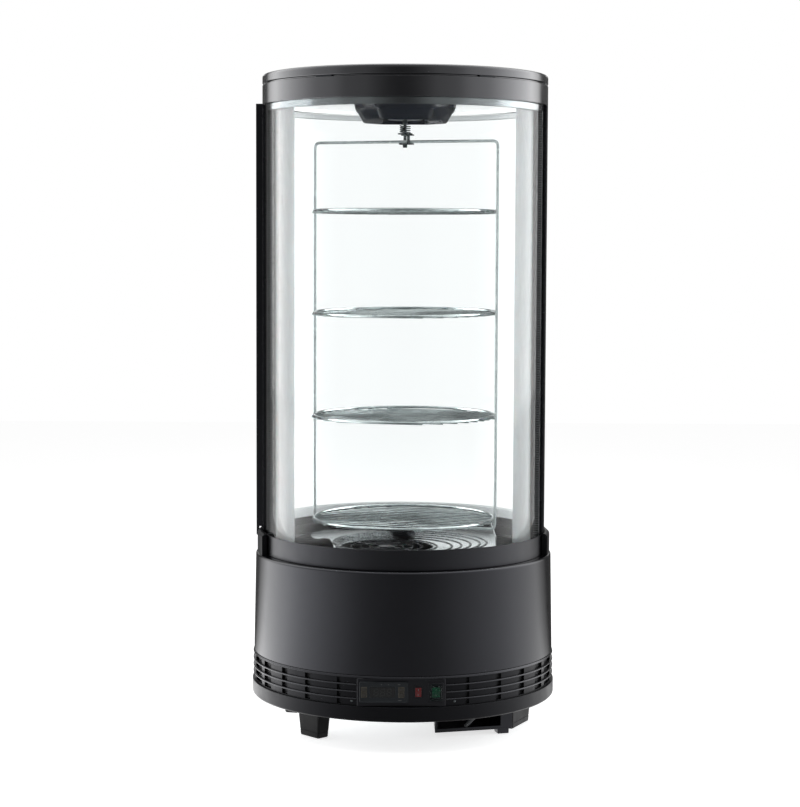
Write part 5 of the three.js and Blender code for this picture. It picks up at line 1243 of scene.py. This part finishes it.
hinge = Shape().add(*stile(91, 96))
for radius, low, high in ((5, DOOR_LOW, DOOR_HIGH), (2.5, DOOR_LOW - 8.5, DOOR_LOW + 1),
                          (2.5, DOOR_HIGH - 1, DOOR_HIGH + 8.5)):
    hinge.add(*lathe(block(0, radius, low, high), step=15, centre=PIN))
make("hinge_stile_profile", hinge, "dark_metal", "door", ["door_hinge_stile"], edge=0.4)
latch = Shape().add(*stile(261, 266)).add(*stile(263.8, 266, 242.2, 254.5, 330.9, 1054.5))
latch.add(*stile(263.8, 266, 250.5, 254.5, 316, 332))
make("latch_stile_profile", latch, "dark_metal", "door", ["door_latch_stile"], edge=0.8)

# %% [markdown]
# A pale rail closes the door below and above. Its profile has two grooves, in which the two curved panes stand, and
# the same list of steps serves for both rails, one the other way up.

# %% Rails and panes of the door
RAIL_STEPS = ((220.5, 0), (221.2, 0), (221.2, 1), (225.8, 1), (225.8, 0), (233.2, 0), (233.2, 1), (237.8, 1),
              (237.8, 0), (POST_OUTER, 0))
for name, back, face, groove in (("bottom", DOOR_LOW, 346.8, 341.6), ("top", DOOR_HIGH, 1038.5, 1043.7)):
    profile = [(radius, groove if deep else face) for radius, deep in RAIL_STEPS] + [(POST_OUTER, back), (220.5, back)]
    make(f"{name}_rail_profile", spun(profile, 0.3, 96.15, 260.85, steps=2), "pale_rail", "door",
         [f"door_{name}_rail"])
pane("door_glass_outer", OUTER_PANE, 94.4, 262.6, 341.8, 1043.5, "door", "door_pane_outer")
pane("door_glass_inner", INNER_PANE, 94.4, 262.6, 341.8, 1043.5, "door", "door_pane_inner")

# %% [markdown]
# The cooling unit, the pan and the motor are hardly seen, so their CAD solids stay as they are. They get their
# finishes here, by the material slot that the CAD record gives each node.

# %% Finishes for the CAD nodes
SLOT_FINISH = {
    "blackPlastic": "gloss_black", "satinBlack": "satin_black", "blackMetal": "dark_metal", "glass": "clear_glass",
    "clearPlastic": "clear_plastic", "diffuser": "frosted_tube", "whitePanel": "white_panel",
    "aluminium": "satin_aluminium", "stainless": "polished_steel", "chromeWire": "chrome_wire",
    "zincSteel": "zinc_steel", "copper": "copper_and_fins", "slateBezel": "slate_bezel",
    "displayBlack": "display_black", "beigeButton": "beige_button", "redLens": "red_lens",
    "greenLens": "green_lens", "greyHose": "grey_hose", "foam": "foam_liner",
}
for part in frame["record"]["subparts"]:
    cad = frame["nodes"][part["node"]]
    cad.data.materials.clear()
    cad.data.materials.append(FINISH[SLOT_FINISH[part["material_slot"]]])
    cad.data.shade_smooth()
    cad.data.set_sharp_from_angle(angle=math.radians(28))
